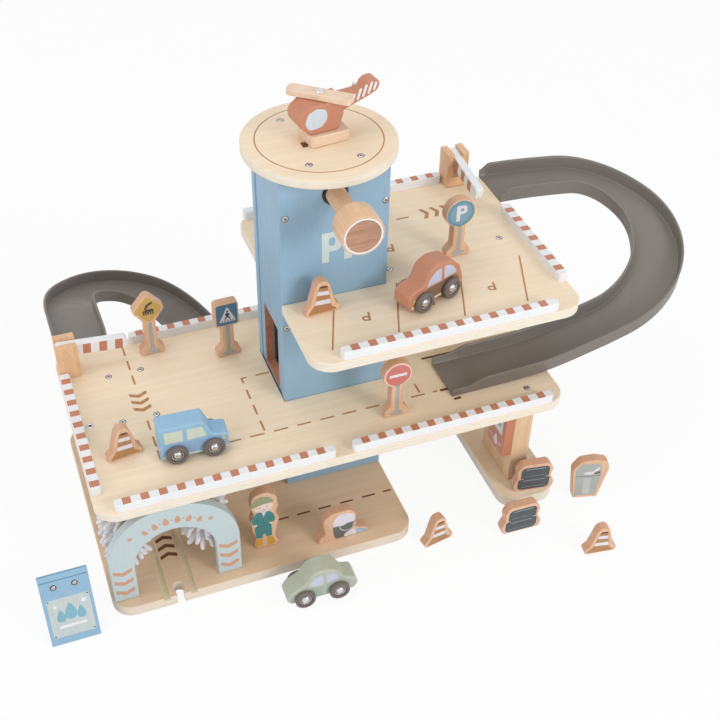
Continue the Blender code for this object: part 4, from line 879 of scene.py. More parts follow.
def ramp_section(wall):
    """Closed section of the channel for each station: a floor with filleted corners, leaning
    walls, and a lip rolled outwards along their tops. A height after "w" counts from the top."""
    right = [(21.9, 0.0), (22.5, 0.12), (23.0, 0.6), (23.9, "w-1.9"), (24.2, "w-1.0"),
             (24.6, "w-0.3"), (25.1, "w"), (25.9, "w"), (26.4, "w-0.3"), (26.6, "w-0.9"),
             (26.45, "w-1.5"), (26.1, "w-1.8"), (25.9, "w-2.1"), (25.9, -1.3), (25.5, -1.8)]
    half = []
    for side, height in right:
        if isinstance(height, str):
            half.append((side, np.maximum(wall + float(height[1:] or 0), 0.3)))
        else:
            half.append((side, np.full(len(wall), height)))
    sides = [-side for side, _ in half] + [side for side, _ in reversed(half)]
    heights = [height for _, height in half] + [height for _, height in reversed(half)]
    return np.array(sides), np.array(heights).T


RAMP_WALL = 13.5
RAMP_STATIONS = 260
RAMP_LIFT = 2.1  # of its foot over the board it lands on


def ramp(place, run_in, bend_long, bend_wide, run_out, shares, start_z, end_z):
    """The channel carried along its plan: straight, half an ellipse, straight back. Walls drop
    smoothly to half their height over 11 mm at the head, and from 38 to 12 mm at the foot."""
    lead = np.column_stack([np.linspace(0, run_in, 60)[:-1], np.zeros(59)])
    turn = np.linspace(0, math.pi, 241)
    bend = np.column_stack([run_in + bend_long * np.sin(turn), bend_wide * (np.cos(turn) - 1)])
    back = np.column_stack([np.linspace(run_in, run_in - run_out, 90)[1:],
                            np.full(89, -2 * bend_wide)])
    plan = np.vstack([lead, bend, back])
    reach = np.concatenate([[0], np.cumsum(np.linalg.norm(np.diff(plan, axis=0), axis=1))])
    even = np.linspace(0, reach[-1], RAMP_STATIONS)
    plan = np.column_stack([np.interp(even, reach, plan[:, 0]), np.interp(even, reach, plan[:, 1])])
    heading = np.gradient(plan, axis=0)
    heading /= np.linalg.norm(heading, axis=1)[:, None]
    across = np.column_stack([-heading[:, 1], heading[:, 0]])
    floor = start_z + (end_z - start_z) * fall(shares, even / even[-1])
    ease = np.clip(np.minimum(even / 11, (even[-1] - even - 12) / 26), 0, 1)
    wall = RAMP_WALL * (0.5 + 0.5 * ease * ease * (3 - 2 * ease))
    sides, heights = ramp_section(wall)
    points = np.concatenate([
        plan[:, None] + across[:, None] * sides[None, :, None],
        (floor[:, None] + heights)[..., None]], -1)
    count = len(sides)
    ends = np.stack([np.arange(count), (RAMP_STATIONS - 1) * count + np.arange(count)[::-1]])
    return outward(points.reshape(-1, 3) @ place[:3] + place[3],
                   [grid_faces(RAMP_STATIONS, count), ends])


for name, shell in (
        ("right_ramp", ramp(level(460.3, 214.0), 80.0, 77.6, 69.0, 186.0, RIGHT_FALL, TOP_TOP,
                            MID_TOP + RAMP_LIFT)),
        ("left_ramp", ramp(level(30.2, 242.3, 0, 90), 64.6, 90.7, 73.7, 114.0, LEFT_FALL, MID_TOP,
                           BASE_TOP + RAMP_LIFT))):
    make(name + "_channel", [shell], RAMP_GREY, "garage", [name], crease=40)


# Barriers

HINGE_HIGH = 22.5  # over the deck
BAR_RAISED = 6.3  # over its hinge


def gate(name, place, reach, droop, body, stripes):
    """Slotted block, and the bar in its slot with stripes painted along both its sides."""
    block = [(-11.65, 0.3), (11.65, 0.3), (11.65, 38), (4.65, 38), (4.65, 11), (-4.65, 11),
             (-4.65, 38), (-11.65, 38)]
    stand = np.vstack([place[2], place[1], -place[0], place[3] - HINGE_HIGH * place[1]])
    make(name + "_gate_block", [board([block], -10.25, 10.25, stand, EASED)],
         POST_BEECH, "garage", [name + "_barrier_stand"])
    lean = spun(moved(place, v=BAR_RAISED), -droop)
    outline = [(-9.65, -6.5, 3), (reach, -6.5, 4), (reach, 6.5, 4), (-9.65, 6.5, 3)]
    make(name + "_gate_bar", [board([outline], -4.25, 4.25, lean, (0.7, 0.7))], WHITE, body,
         [name + "_barrier_arm"])
    marks = [box(start, -5.9, start + 7.6, 5.9, 0.3) for start in stripes]
    make(name + "_gate_stripes", [board([mark], low, low + 0.1 + INK, lean)
                                  for mark in marks for low in (4.15, -4.25 - INK)],
         TERRACOTTA, body)
    plug = [(0, 11.2), (2.6, 11.2), (2.6, 11.7), (2.4, 11.8), (0, 11.85)]
    turned_round = np.vstack([-lean[0], lean[1], -lean[2], lean[3]])
    return [turned(plug, way, 28) for way in (lean, turned_round)]


plugs = gate("left", upright(12.25, 212.0, MID_TOP + HINGE_HIGH), 59.5, 5.0, "left_arm",
             (16.2, 32.0, 47.4))
plugs += gate("upper", upright(429.4, 238.25, TOP_TOP + HINGE_HIGH, -90), 62.0, 7.2, "upper_arm",
              (11.2, 26.6, 42.0))
make("gate_plugs", plugs, KNOB_BEECH, "garage")


# Filling station's pump and the car wash's arches

pump_place = upright(415.2, 0, 0, 90)
make("pump_block", [board([box(28.0, 50.3, 61.0, 120.0, 1.2)], -PLY, 0, pump_place, (0.8, 0.8))],
     TERRACOTTA, "garage", ["fuel_pump"])
ARCH_X, FRONT_ARCH_Y = 63.5, 10.5


def arch_outline(half):
    """Legs, the half circle between them, and an arc cut off level at the top."""
    inner, high = 38.5, 107.5
    waist = max(48.5, high + 1.6 - half)
    top = math.degrees(math.asin((high - waist) / half))
    return shaped((half, 0.3), arc(0, waist, half, 0, top, 30),
                  arc(0, waist, half, 180 - top, 180, 30), (-half, 0.3), (-inner, 0.3),
                  arc(0, 41.5, inner, 180, 0, 60), (inner, 0.3))


for name, y, half in (("front", FRONT_ARCH_Y, 61.3), ("middle", 116.5, 57.8),
                      ("rear", 184.5, 57.8)):
    make(name + "_arch", [board([arch_outline(half)], -PLY, 0, upright(ARCH_X, y, BASE_TOP),
                                EASED)], MINT, "garage", ["wash_arch_" + name])


# Mops

FINGERS, FINGER_ROWS, FINGER_TURN = 90, 10, 2.39996


def mop(x, y, seed):
    """Soft round fingers in rows up the hub. Each leaves it outwards and sags by the square of
    its share; its lean, length and swing come from sines of its number."""
    number = np.arange(FINGERS)
    row = number % FINGER_ROWS
    angle = number * FINGER_TURN + seed
    wobble = np.sin(number * 12.9898 + seed * 7.1)
    other = np.sin(number * 4.1414 + seed * 3.3)
    lean = np.radians(14.0 - 6.6 * row + 9.0 * other)[:, None]
    t = np.linspace(0, 1, 15)
    reach = (19.0 + 1.0 * wobble - 0.25 * row)[:, None] * t
    radius = 5.0 + reach
    height = (79.0 - 4.2 * row)[:, None] + reach * np.tan(lean) * (1 - 0.25 * t)
    height -= (4.5 + 1.8 * other)[:, None] * t ** 2
    turn = angle[:, None] + (0.2 * wobble)[:, None] * t ** 2
    paths = np.stack([radius * np.cos(turn), radius * np.sin(turn), height], -1)
    side = np.stack([-np.sin(angle), np.cos(angle), 0 * angle], -1)[:, None]
    thick = 2.5 * np.sqrt(np.clip(1 - ((t - 0.42) / 0.585) ** 10, 0.02, 1))
    place = level(x, y, BASE_TOP)
    hub = turned([(0, 81), (7, 81), (8, 79.5), (8, 37.5), (7, 36.5), (0, 36.5)], place, 32)
    return [strands(paths, thick, side, place, 12), hub]


for name, x, seed in (("left", 24.5, 0.4), ("right", 98.9, 2.1)):
    make(name + "_mop_strands", mop(x, 46.5, seed), COTTON, name + "_mop",
         [name + "_wash_mop"], crease=60)


# Sides: what a print lies on, as a place, the faces as (w, the way each looks), and a body

BOARD_FACES = ((0.0, 1), (-PLY, -1))
CAR_NEAR = -5.8
CAR_WIDE = 20.5
CAR_FACES = ((CAR_NEAR, 1), (CAR_NEAR - CAR_WIDE, -1))


# Vehicles: u and v count from the first axle, w from the near tyre's outer wall

WHEELBASE = 34
WHEEL_RADIUS = 10
AXLE_MIDDLE = CAR_NEAR - CAR_WIDE / 2
SUV = [(-15, -6.5, 2), (48, -6.5, 2), (48.8, 11.3, 3), (34.3, 14, 2), (27, 31, 3), (-15, 31, 2.5)]
SALOON = [(-13, -6, 4), (-16.5, 0, 4), (-16, 9.5, 6), (-10, 14.2, 5), (1.5, 15, 4), (8, 29, 9),
          (20, 32.5, 14), (36, 28.5, 12), (46.5, 18, 9), (51.5, 2, 6), (49, -6, 4)]
COUPE = [(-13, -6, 4), (-17.5, 0, 4), (-13, 8, 6), (0, 15.5, 9), (7.5, 28, 9), (19, 31, 14),
         (31.5, 27.5, 9), (41, 12.5, 4), (50.5, 9.5, 4), (54, 1, 4), (50, -6, 4)]


def ribs(angle, profile):
    """Radial ribs on the tyre's side walls: a small wave in w, only between two radii."""
    on_wall = (profile[:, 0] > 7.0) & (profile[:, 0] < 9.3)
    outer = np.sign(profile[:, 1] - AXLE_MIDDLE)
    return np.outer(on_wall * outer * -0.16, (np.sin(angle * 48) > 0).astype(float))


def wheel_parts(place):
    """Tyres with ribbed walls, dark recessed hubs and domed caps, on both sides of one axle."""
    tyre = [(6.6, -1.6), (6.9, -0.4), (7.3, 0.0), (8.2, 0.0), (9.0, -0.2), (9.6, -0.8), (10, -1.7),
            (10, -4.4), (9.6, -5.1), (9.0, -5.2), (5.5, -5.2), (5.5, -1.6)]
    cap = [(0, -0.1), (1.4, -0.25), (2.8, -0.75), (3.8, -1.5), (4.2, -2.2), (4.3, -2.6), (0, -2.6)]
    seat = [(4.7, -2.4), (5.4, -2.4), (5.5, -1.9), (5.3, -1.7), (4.8, -1.9)]
    hub = [(0, -2.3), (6.7, -2.3), (6.7, -5.1), (1.6, -5.1)]

    def mirrored(profile):
        return [(radius, 2 * AXLE_MIDDLE - w) for radius, w in profile]

    tyres, caps, seats = ([turned(profile, place, sides, ripple),
                           turned(mirrored(profile), place, sides, ripple)]
                          for profile, sides, ripple in ((tyre, 192, ribs), (cap, 40, None),
                                                         (seat, 48, None)))
    return tyres, [turned(hub + mirrored(hub)[::-1], place, 48)], caps + seats


def car(name, outline, finish, place):
    """Body sawn from a thick board with well rounded edges, and its wheels."""
    place = moved(place, v=WHEEL_RADIUS)
    bores = [circle(u, 0, 2.0, 24) for u in (0, WHEELBASE)]
    make(name + "_shell", [board([rounded(outline, 9)] + bores, CAR_NEAR - CAR_WIDE, CAR_NEAR,
                                 place, (1.7, 1.7), 6)], finish, name, [name + "_body"])
    for pair, u in ((name + "_first", 0), (name + "_second", WHEELBASE)):
        tyres, hubs, caps = wheel_parts(moved(place, u))
        body = pair + "_axle"
        make(pair + "_tyres", tyres, TYRE_GREY, body, [pair + "_wheels"], crease=35)
        make(pair + "_hubs", hubs, HUB_DARK, body)
        make(pair + "_caps", caps, CHROME, body)
    return place, CAR_FACES, name


suv = car("suv", SUV, SKY, upright(82.6, 49.8, MID_TOP + GAP, -2.3))
red_car = car("red_car", SALOON, CAR_RED,
              upright(317.0, 45.0, TOP_TOP + GAP, 20.8))
green_car = car("green_car", COUPE, SAGE, upright(170.2, -46.6, 0.0, -0.8))


# Boards cut to shape: u and v count from the left end of the foot

def cutout(name, outline, x, y, z, degrees):
    """Board that stands on its foot."""
    place = upright(x, y, z, degrees)
    make(name + "_board", [board([outline], -PLY, 0, place, EASED)], BEECH, "garage",
         [name])
    return place, BOARD_FACES, "garage"


FOOT_RIGHT = [(24, 0, 2.5), (24.5, 6.5, 3), (18.5, 12.5, 4)]
FOOT_LEFT = [(6, 12.5, 4), (0, 6.5, 3), (0.5, 0, 2.5)]
SIGN_MIDDLE = 12.2
DIAMOND = FOOT_RIGHT + [(18, 41, 1.5), (28.8, 56, 4.5), (SIGN_MIDDLE, 75.6, 5), (-4.4, 56, 4.5),
                        (6.4, 41, 1.5)] + FOOT_LEFT
CROSSING = FOOT_RIGHT + [(18.2, 38.2, 1), (24.4, 38.2, 2.5), (24.4, 66.2, 3.5), (0, 66.2, 3.5),
                         (0, 38.2, 2.5), (6.4, 38.2, 1)] + FOOT_LEFT
CONE = [(0.6, 0, 2.5), (31.9, 0, 2.5), (33.2, 5, 2.5), (28.4, 9.5, 4), (22.6, 31.5, 4),
        (19.2, 35, 3), (13.2, 35, 3), (9.9, 31.5, 4), (4.1, 9.5, 4), (-0.7, 5, 2.5)]
FIGURE = [(0.5, 0, 2), (20.5, 0, 2), (23, 5, 4), (19.5, 14, 5), (21.5, 28, 4), (24, 38, 5),
          (20.5, 48, 4), (23.5, 56, 6), (22.5, 70, 8), (12, 77.5, 9), (-1, 73, 9), (-3.5, 58, 7),
          (-0.5, 49, 5), (-4, 38, 6), (-2.5, 25, 5), (0.5, 14, 6), (-1.5, 5, 3)]
BUCKET = [(-2, 0, 2.5), (48.5, 0, 2), (50, 4, 1.5), (46, 7, 3), (34.5, 11, 4), (36.5, 30, 7),
          (30, 38.5, 8), (10, 38.5, 8), (1.5, 31, 7), (4, 11, 4), (-2.5, 5, 3)]
BIN = [(-0.5, 0, 2.5), (25.5, 0, 2.5), (33, 41, 6), (30.5, 51, 7), (17, 54.5, 12), (2, 52.5, 8),
       (-5, 41, 8)]
STACK = [(2.5, 0, 3), (41.5, 0, 3), (43.5, 8, 6), (39, 18, 5), (41, 28, 6), (35, 36.5, 5),
         (7, 36.5, 5), (2.5, 28, 6), (3.8, 18, 5), (-0.5, 8, 6)]


def disc_outline(centre, radius):
    """Foot, stem and round head: the circle is left out over the 12 mm of the stem."""
    turn = math.degrees(math.asin(6.0 / radius))
    stem = rounded(FOOT_RIGHT + [(18.2, 20, 0), (1, 0, 0)])[:-2]
    head = arc(SIGN_MIDDLE, centre, radius, -90 + turn, 270 - turn, 60)
    foot = rounded([(23, 0, 0), (6.2, 20, 0)] + FOOT_LEFT)[2:]
    return shaped(stem, head, foot)


ENTRY_CENTRE, PARKING_CENTRE = 51.5, 48.0
diamond = cutout("diamond_sign", DIAMOND, 83.8, 209.3, MID_TOP + GAP, 1.5)
crossing = cutout("crossing_sign", CROSSING, 155.0, 181.4, MID_TOP + GAP, 2.0)
parking = cutout("parking_sign", disc_outline(PARKING_CENTRE, 15.0), 367.2, 115.4, TOP_TOP + GAP,
                 1.0)
entry = cutout("no_entry_sign", disc_outline(ENTRY_CENTRE, 14.5), 280.3, 43.7, MID_TOP + GAP, 0.0)
cones = [cutout("mid_deck_cone", CONE, 23.9, 72.9, MID_TOP + GAP, 9.3),
         cutout("top_deck_cone", CONE, 213.7, 73.7, TOP_TOP + GAP, 3.9),
         cutout("front_floor_cone", CONE, 304.1, -18.1, 0.0, 10.1),
         cutout("right_floor_cone", CONE, 449.7, -79.1, 0.0, -7.5)]
figure = cutout("figure", FIGURE, 143.9, 28.7, BASE_TOP + GAP, -6.2)
bucket = cutout("bucket", BUCKET, 205.7, 12.1, BASE_TOP + GAP, 1.4)
waste_bin = cutout("waste_bin", BIN, 475.3, -7.5, 0.0, -14.5)
stacks = [cutout("plate_tyre_stack", STACK, 413.5, 10.5, BASE_TOP + GAP, -8.7),
          cutout("floor_tyre_stack", STACK, 382.5, -28.0, 0.0, -1.8)]


# Folding sign board: two leaves that meet at a ridge

LEAF_LEAN, LEAF_LONG, LEAF_HALF = math.radians(15), 80.8, 22.25
LEAF_X, LEAF_Y = -38.7, -9.6
RUN, RISE = LEAF_LONG * math.sin(LEAF_LEAN), LEAF_LONG * math.cos(LEAF_LEAN)
ACROSS = 5.0 / math.cos(LEAF_LEAN)
ridge_place = upright(LEAF_X, LEAF_Y + RUN, 0.0, 90)
leaf = np.array([(-RUN, 0.0, 0.7), (-RUN + ACROSS, 0.0, 0.7),
                 (-0.3, RISE - ACROSS / math.tan(LEAF_LEAN), 0.7), (-0.3, RISE, 0.5)])
make("board_leaves", [board([leaf * [way, 1, 1]], -LEAF_HALF, LEAF_HALF, ridge_place, (0.7, 0.7))
                      for way in (1, -1)],
     BOARD_BLUE, "garage", ["sign_board_front", "sign_board_back"])
slope = math.hypot(RUN - 0.3, RISE)
sine, cosine = (RUN - 0.3) / slope, RISE / slope
leaf_sides = [(np.array([[way, 0, 0], [0, way * sine, cosine], [0, -way * cosine, sine],
                         [LEAF_X, y, 0.0]]), ((0.0, 1),), "garage")
              for way, y in ((1, LEAF_Y), (-1, LEAF_Y + 2 * RUN))]


# Helicopter

HELI_TURN = 7.8
ROTOR_TURN = -47
heli_front = upright(236.5, 125.5, ROOF_TOP + GAP, HELI_TURN)
heli_flat = level(236.5, 125.5, ROOF_TOP + GAP, HELI_TURN)
CABIN_FACES = ((-2.5, 1), (-26.5, -1))
TAIL_FACES = ((-8.0, 1), (-21.0, -1))
CABIN = [(2, 10.3, 4), (28, 10.3, 2), (33, 22, 6), (34, 36.3, 0.6), (1, 36.3, 6), (-9, 29, 8),
         (-8, 19, 8)]
TAIL = [(26, 20.5, 0.5), (40, 24.5, 10), (60, 31, 9), (70.5, 35.5, 7), (70, 45.4, 7.5),
        (58.5, 44.6, 7), (54, 36.8, 7), (26, 35.6, 0.5)]
make("heli_foot", [board([box(0.6, -2, 37.6, 27, 3)], 0, 9.9, heli_flat, EASED)], ROTOR_BEECH,
     "helicopter", ["heli_base"])
make("heli_shell", [board([CABIN], CABIN_FACES[1][0], CABIN_FACES[0][0], heli_front, (1.2, 1.2)),
                    board([TAIL], TAIL_FACES[1][0], TAIL_FACES[0][0], heli_front, (0.8, 0.8))],
     HELI_RED, "helicopter", ["heli_body"])
rivet_place = moved(heli_flat, 16.4, 14.5, 36.3)
rivet = [(0, -3), (1.6, -3), (1.6, 6.2), (3.7, 6.2), (3.8, 6.4), (3.5, 6.9), (2.7, 7.05),
         (2.2, 6.6), (0, 6.5)]
make("rotor_rivet", [turned(rivet, rivet_place, 40)], CHROME, "helicopter")
make("rotor_blade", [board([box(-29, -6.5, 29, 6.5, 3.4), circle(0, 0, 2.0, 24)], 0.3, 6.1,
                           spun(rivet_place, ROTOR_TURN), (0.8, 0.8))], ROTOR_BEECH, "rotor",
     ["heli_rotor"])


# Prints: thin skins of ink on the faces of boards and bodies

INKS = {
    "grey_plastic": dict(
        sign_grey=(172, 172, 170), bin_grey=(172, 176, 172), bin_shade=(140, 146, 144),
        bin_light=(192, 194, 192)),
    "terracotta_paint": dict(
        mustard=(203, 168, 92), sign_red=(205, 118, 108), ochre=(176, 128, 84),
        boot_yellow=(204, 160, 66), door_brown=(128, 100, 76), chevron_clay=(202, 154, 126)),
    # The dark brown ink prints the cone tops and the card nails, and paints shade round the leaf
    # screws
    "black_plastic": dict(umber=(86, 68, 62), night_blue=(62, 76, 88), soot=(92, 56, 36)),
    "sky_paint": dict(
        sign_blue=(84, 124, 150), ring_blue=(100, 150, 168), disc_blue=(128, 162, 182),
        suit_teal=(66, 134, 134), suit_shade=(44, 104, 108), puddle_blue=(152, 184, 216),
        door_blue=(146, 176, 212), card_blue=(128, 178, 194), groove_blue=(92, 124, 152)),
    "white_paint": dict(
        pale_lilac=(226, 222, 228), skin=(234, 212, 200), suds=(224, 220, 230),
        handle_lilac=(196, 180, 196), sill_cream=(214, 222, 206), lamp_yellow=(228, 208, 112),
        panel_white=(232, 234, 238)),
    "tyre": dict(slate=(76, 81, 83), slate_light=(140, 150, 162), bucket_grey=(98, 106, 98)),
    "sage_paint": dict(beret_green=(152, 156, 118), door_green=(164, 180, 166)),
    "mint_paint": dict(
        window_cream=(206, 216, 198), window_lavender=(196, 200, 220), card_mint=(196, 206, 204),
        glass_grey=(206, 216, 228)),
}
skins = {}


def stamp(ink, sides, outlines, coat=1):
    """Ink on every face of the sides. A later coat lies on the earlier ones. An outline is a
    loop, or a tuple of a loop and its holes."""
    place, faces, body = sides
    for plane, way in faces:
        low, high = sorted((plane - 0.1 * way, plane + INK * coat * way))
        skins.setdefault((body, ink), []).extend(
            board(outline if isinstance(outline, tuple) else [outline], low, high, place)
            for outline in outlines)


def star(u, v, radius, lean=0.0):
    """Five points: ten equal steps round a circle, every second one at 0.46 of the radius."""
    turn = np.radians(90 + lean + 36.0 * np.arange(10))
    reach = radius * np.where(np.arange(10) % 2, 0.46, 1.0)
    return np.column_stack([u + reach * np.cos(turn), v + reach * np.sin(turn)])


def drop(u, v, size, lean=0.0):
    """Water drop: a circle drawn out to a point along its own axis."""
    turn = np.linspace(0, math.tau, 33)[:-1]
    wide = size * 0.42 * np.sin(turn) * np.sin(turn / 2) ** 1.2
    high = size * 0.55 * np.cos(turn)
    return np.column_stack([wide, high]) @ turning(lean) + [u, v]


def crescent(u, v, outer, inner, start, end, count):
    """Arc between two radii, from the start angle to the end angle."""
    return shaped(arc(u, v, outer, start, end, count), arc(u, v, inner, end, start, count))


def sign_stem(top):
    """The stem and foot printed on a sign, up to a height."""
    return [(10.3, top, 0.3), (10.3, 7.5, 2), (7, 5.8, 1.5), (4.6, 3.6, 1.2), (8, 1.5, 1.5),
            (16.5, 1.5, 1.5), (20, 3.6, 1.2), (17.2, 5.8, 1.5), (14.2, 7.5, 2), (14.2, top, 0.3)]


# Road signs
for sides, top in ((diamond, 40.2), (crossing, 40.2), (parking, 34.9), (entry, 39.2)):
    stamp("sign_grey", sides, [sign_stem(top)])
stamp("mustard", diamond, [[(SIGN_MIDDLE, 73.2, 4), (26.6, 56.4, 4), (SIGN_MIDDLE, 39.9, 4),
                            (-2.2, 56.4, 4)]])
stamp("umber", diamond, [
    [(8.1, 57.5, 1), (10.2, 62.5, 3), (14.3, 65.1, 3), (17.3, 64.9, 1), (16.4, 62.5, 1),
     (13.1, 61, 2), (9.8, 56.8, 0.6)],
    [(6.6, 55.0, 0.4), (9.6, 56.9, 0.6), (16.6, 57, 0.6), (17.6, 55.2, 0.4), (17.1, 53.6, 0.4),
     (6.6, 52.9, 0.4)],
    *[box(6.7 + 2.3 * tooth, 50.4, 8.2 + 2.3 * tooth, 53.6, 0.3) for tooth in range(5)]], 2)
stamp("sign_blue", crossing, [box(1.5, 39.8, 22.9, 64.7, 2.2)])
stamp("pale_lilac", crossing, [[(4.1, 43.7, 1), (21.4, 43.7, 1), (12.9, 62.3, 1)]], 2)
stamp("night_blue", crossing, [
    circle(13.0, 56.2, 1.25, 20),
    [(11.2, 54.4, 0.6), (13.9, 54.6, 0.6), (15.9, 51.2, 0.4), (14.2, 51.6, 0.3),
     (14.4, 50.4, 0.4), (16.2, 46.9, 0.4), (14.6, 46.9, 0.4), (12.9, 49.6, 0.4),
     (10.9, 46.7, 0.4), (9.5, 46.9, 0.4), (11.4, 50.4, 0.4), (11.3, 52.4, 0.4), (9.8, 51.4, 0.3)],
    *[[(u, 44.5, 0.2), (u + 1.3, 44.5, 0.2), (u + 1.7, 45.9, 0.2), (u + 0.4, 45.9, 0.2)]
      for u in (6.3, 9.2, 12.1, 15.0, 17.4)]], 3)
stamp("ring_blue", parking, [circle(SIGN_MIDDLE, PARKING_CENTRE, 13.8, 64)])
stamp("disc_blue", parking, [circle(SIGN_MIDDLE, PARKING_CENTRE, 10.9, 64)], 2)
parking_letter = (rounded([(-4.6, 40, 0.3), (-0.7, 40, 0.3), (-0.7, 47.2, 0.3), (6.2, 47.2, 4.6),
                           (6.2, 56.6, 4.6), (-4.6, 56.6, 0.5)]),
                  box(-0.7, 50.2, 2.8, 53.6, 1.5))
for face in BOARD_FACES:
    stamp("pale_lilac", (parking[0], (face,), "garage"),
          [tuple(loop * [face[1], 1] + [SIGN_MIDDLE, 0] for loop in parking_letter)], 3)
stamp("pale_lilac", entry, [tuple(circle(SIGN_MIDDLE, ENTRY_CENTRE, radius, 64)
                                  for radius in (13.2, 12.7))])
stamp("sign_red", entry, [circle(SIGN_MIDDLE, ENTRY_CENTRE, 12.3, 64)])
stamp("pale_lilac", entry, [box(3.5, 49.9, 20.9, 53.1, 0.6)], 2)

# Cones, bin and tyre stacks
for sides in cones:
    stamp("ochre", sides, [[(2.4, 1.6, 1), (28.9, 1.6, 1), (29.0, 3.2, 1), (24.6, 6.6, 1.5),
                            (20.7, 29.6, 1.5), (12.6, 30.4, 1.5), (7.8, 10.7, 3), (2.6, 3.6, 1)]])
    stamp("pale_lilac", sides, [
        [(11.6, 25.4, 0.4), (10.6, 21.3, 0.4), (22.0, 19.8, 0.4), (21.3, 24.4, 0.4)],
        [(9.2, 15.6, 0.4), (8.0, 11.3, 0.4), (23.7, 9.8, 0.4), (22.9, 14.9, 0.4)]], 2)
    stamp("soot", sides, [oval(16.6, 29.6, 3.9, 1.1, -3)], 2)
stamp("bin_grey", waste_bin, [[
    (1.2, 3.4, 1.5), (-0.4, 26, 6), (-2.3, 41.0, 3), (4.4, 49.6, 3), (22.4, 49.2, 3),
    (24.9, 43.6, 3), (25.5, 32.6, 3), (24.2, 21.2, 6), (22.6, 3.4, 1.5)]])
stamp("bin_shade", waste_bin, [[(-1.2, 33.1, 0.6), (-1.0, 31.2, 0.6), (12, 30.4, 8),
                                (25.1, 31.3, 0.6), (25.2, 33.2, 0.6), (12, 31.9, 8)]], 2)
stamp("bin_light", waste_bin, [[(7.5, 29.6, 1), (8.5, 5.5, 1), (16.2, 5.5, 1), (15.6, 29.4, 1)]], 2)
stamp("pale_lilac", waste_bin, [[(6.2, 34.6, 0.6), (16.4, 34.0, 1), (24.0, 42.5, 1.5),
                                 (21.6, 44.4, 1.5), (16.4, 38.4, 2), (8.4, 37.4, 1)]], 2)
stamp("door_brown", waste_bin, [[(17.0, 36.6, 0.8), (19.2, 33.9, 0.6), (24.6, 35.2, 0.8),
                                 (23.0, 38.4, 0.8)]], 3)
for sides in stacks:
    stamp("slate", sides, [[
        (4.2, 1.8, 5), (38.0, 1.8, 5), (38.0, 17.0, 4), (33.4, 17.0, 0.5), (33.4, 18.0, 0.5),
        (36.8, 18.0, 4), (36.8, 33.0, 5), (6.6, 33.0, 5), (6.6, 18.0, 4), (9.4, 18.0, 0.5),
        (9.4, 17.0, 0.5), (4.2, 17.0, 4)]])
    stamp("slate_light", sides, [
        box(9.0, 14.2, 33.0, 15.2, 0.4), box(11.4, 29.8, 32.4, 31.0, 0.4),
        box(10.4, 20.4, 33.4, 20.9, 0.2), box(8.0, 5.2, 34.4, 5.7, 0.2)], 2)

# The figure's clothes; its face is two dots and a small arc on an oval
stamp("skin", figure, [oval(9.2, 57.6, 9.4, 7.4, 10), oval(1.2, 32.2, 2.6, 1.5, 25),
                       oval(15.0, 33.4, 2.4, 1.5, -20), box(7.2, 48, 11.2, 52, 1)])
stamp("beret_green", figure, [[
    (-2.6, 57.2, 1.5), (-2.3, 63.5, 4), (1.8, 69.6, 4), (7.4, 71.9, 5), (14.6, 71.0, 5),
    (18.9, 65.5, 2), (18.4, 62.7, 1), (9, 61.6, 12)]], 2)
stamp("suit_teal", figure, [[
    (2.8, 50.9, 2), (7.2, 50.8, 1), (9.0, 43.0, 0.5), (11.4, 50.8, 1), (15.4, 50.6, 2.5),
    (18.6, 46.4, 3), (20.2, 40.0, 3), (18.9, 35.6, 2), (16.6, 34.9, 1), (12.9, 35.7, 0.8),
    (16.2, 31.4, 1), (16.5, 16.0, 1), (10.9, 14.9, 1), (8.9, 23.4, 1), (6.6, 13.2, 1),
    (0.6, 14.8, 1), (-0.4, 28.0, 2), (0.8, 31.0, 0.8), (3.8, 33.9, 0.8), (0.4, 34.4, 1),
    (-1.6, 34.2, 1.5), (-3.0, 38.6, 3), (-1.2, 45.6, 4)]], 2)
stamp("suit_shade", figure, [
    stroke(start, end, width) for start, end, width in (
        ((8.95, 42.6), (8.5, 31.0), 0.5), ((3.4, 44.5), (2.4, 36.6), 0.6),
        ((15.2, 44.4), (16.4, 37.6), 0.6), ((-0.2, 30.6), (16.2, 31.2), 0.5))], 3)
stamp("pale_lilac", figure, [[(7.5, 51.2, 0.6), (11.0, 51.2, 0.6), (9.0, 43.6, 0.3)]], 3)
stamp("boot_yellow", figure, [
    [(0.0, 13.4, 0.5), (6.5, 12.4, 0.5), (6.7, 3.0, 1.5), (-1.0, 3.0, 1.5), (-0.8, 7, 1)],
    [(11.2, 14.0, 0.5), (16.8, 14.2, 0.5), (19.6, 6.2, 2), (18.6, 3.0, 1.5), (12.0, 3.0, 1.5),
     (11.6, 8.0, 1)]])
stamp("umber", figure, [circle(5.4, 57.0, 0.55, 16), circle(12.4, 58.3, 0.55, 16),
                        crescent(9.4, 55.6, 1.8, 1.4, 215, 345, 10)], 2)

# Bucket of suds with its handle and a puddle
stamp("bucket_grey", bucket, [[(11.8, 21, 1), (34.2, 21, 1), (30.5, 5.4, 1), (24.6, 1.6, 1),
                               (14.8, 1.8, 1.5), (12.6, 9, 4)]])
stamp("suds", bucket, [
    [(11.4, 19.6, 2), (11.8, 26, 3), (14.6, 32.2, 3), (20.4, 35.6, 3), (27.2, 34.4, 2),
     (33.4, 31.8, 2.5), (34.6, 25.4, 3), (33.6, 20.6, 2), (27.4, 20.6, 3), (22, 18.4, 2),
     (17, 19.4, 2)],
    [(23.2, 1.8, 1.5), (24.4, 6.2, 2), (27.6, 7.6, 1.5), (31.2, 9.8, 2), (35.4, 8, 2),
     (37.4, 3.4, 2), (35.6, 1.4, 1)]], 2)
stamp("handle_lilac", bucket, [crescent(27.4, 18.6, 9.2, 7.9, 178, 355, 30)], 3)
stamp("puddle_blue", bucket, [[(34.5, 8.2, 1), (43, 7.0, 3), (47.6, 4.4, 1.2), (46.6, 1.4, 1),
                               (34.5, 1.4, 1)]])
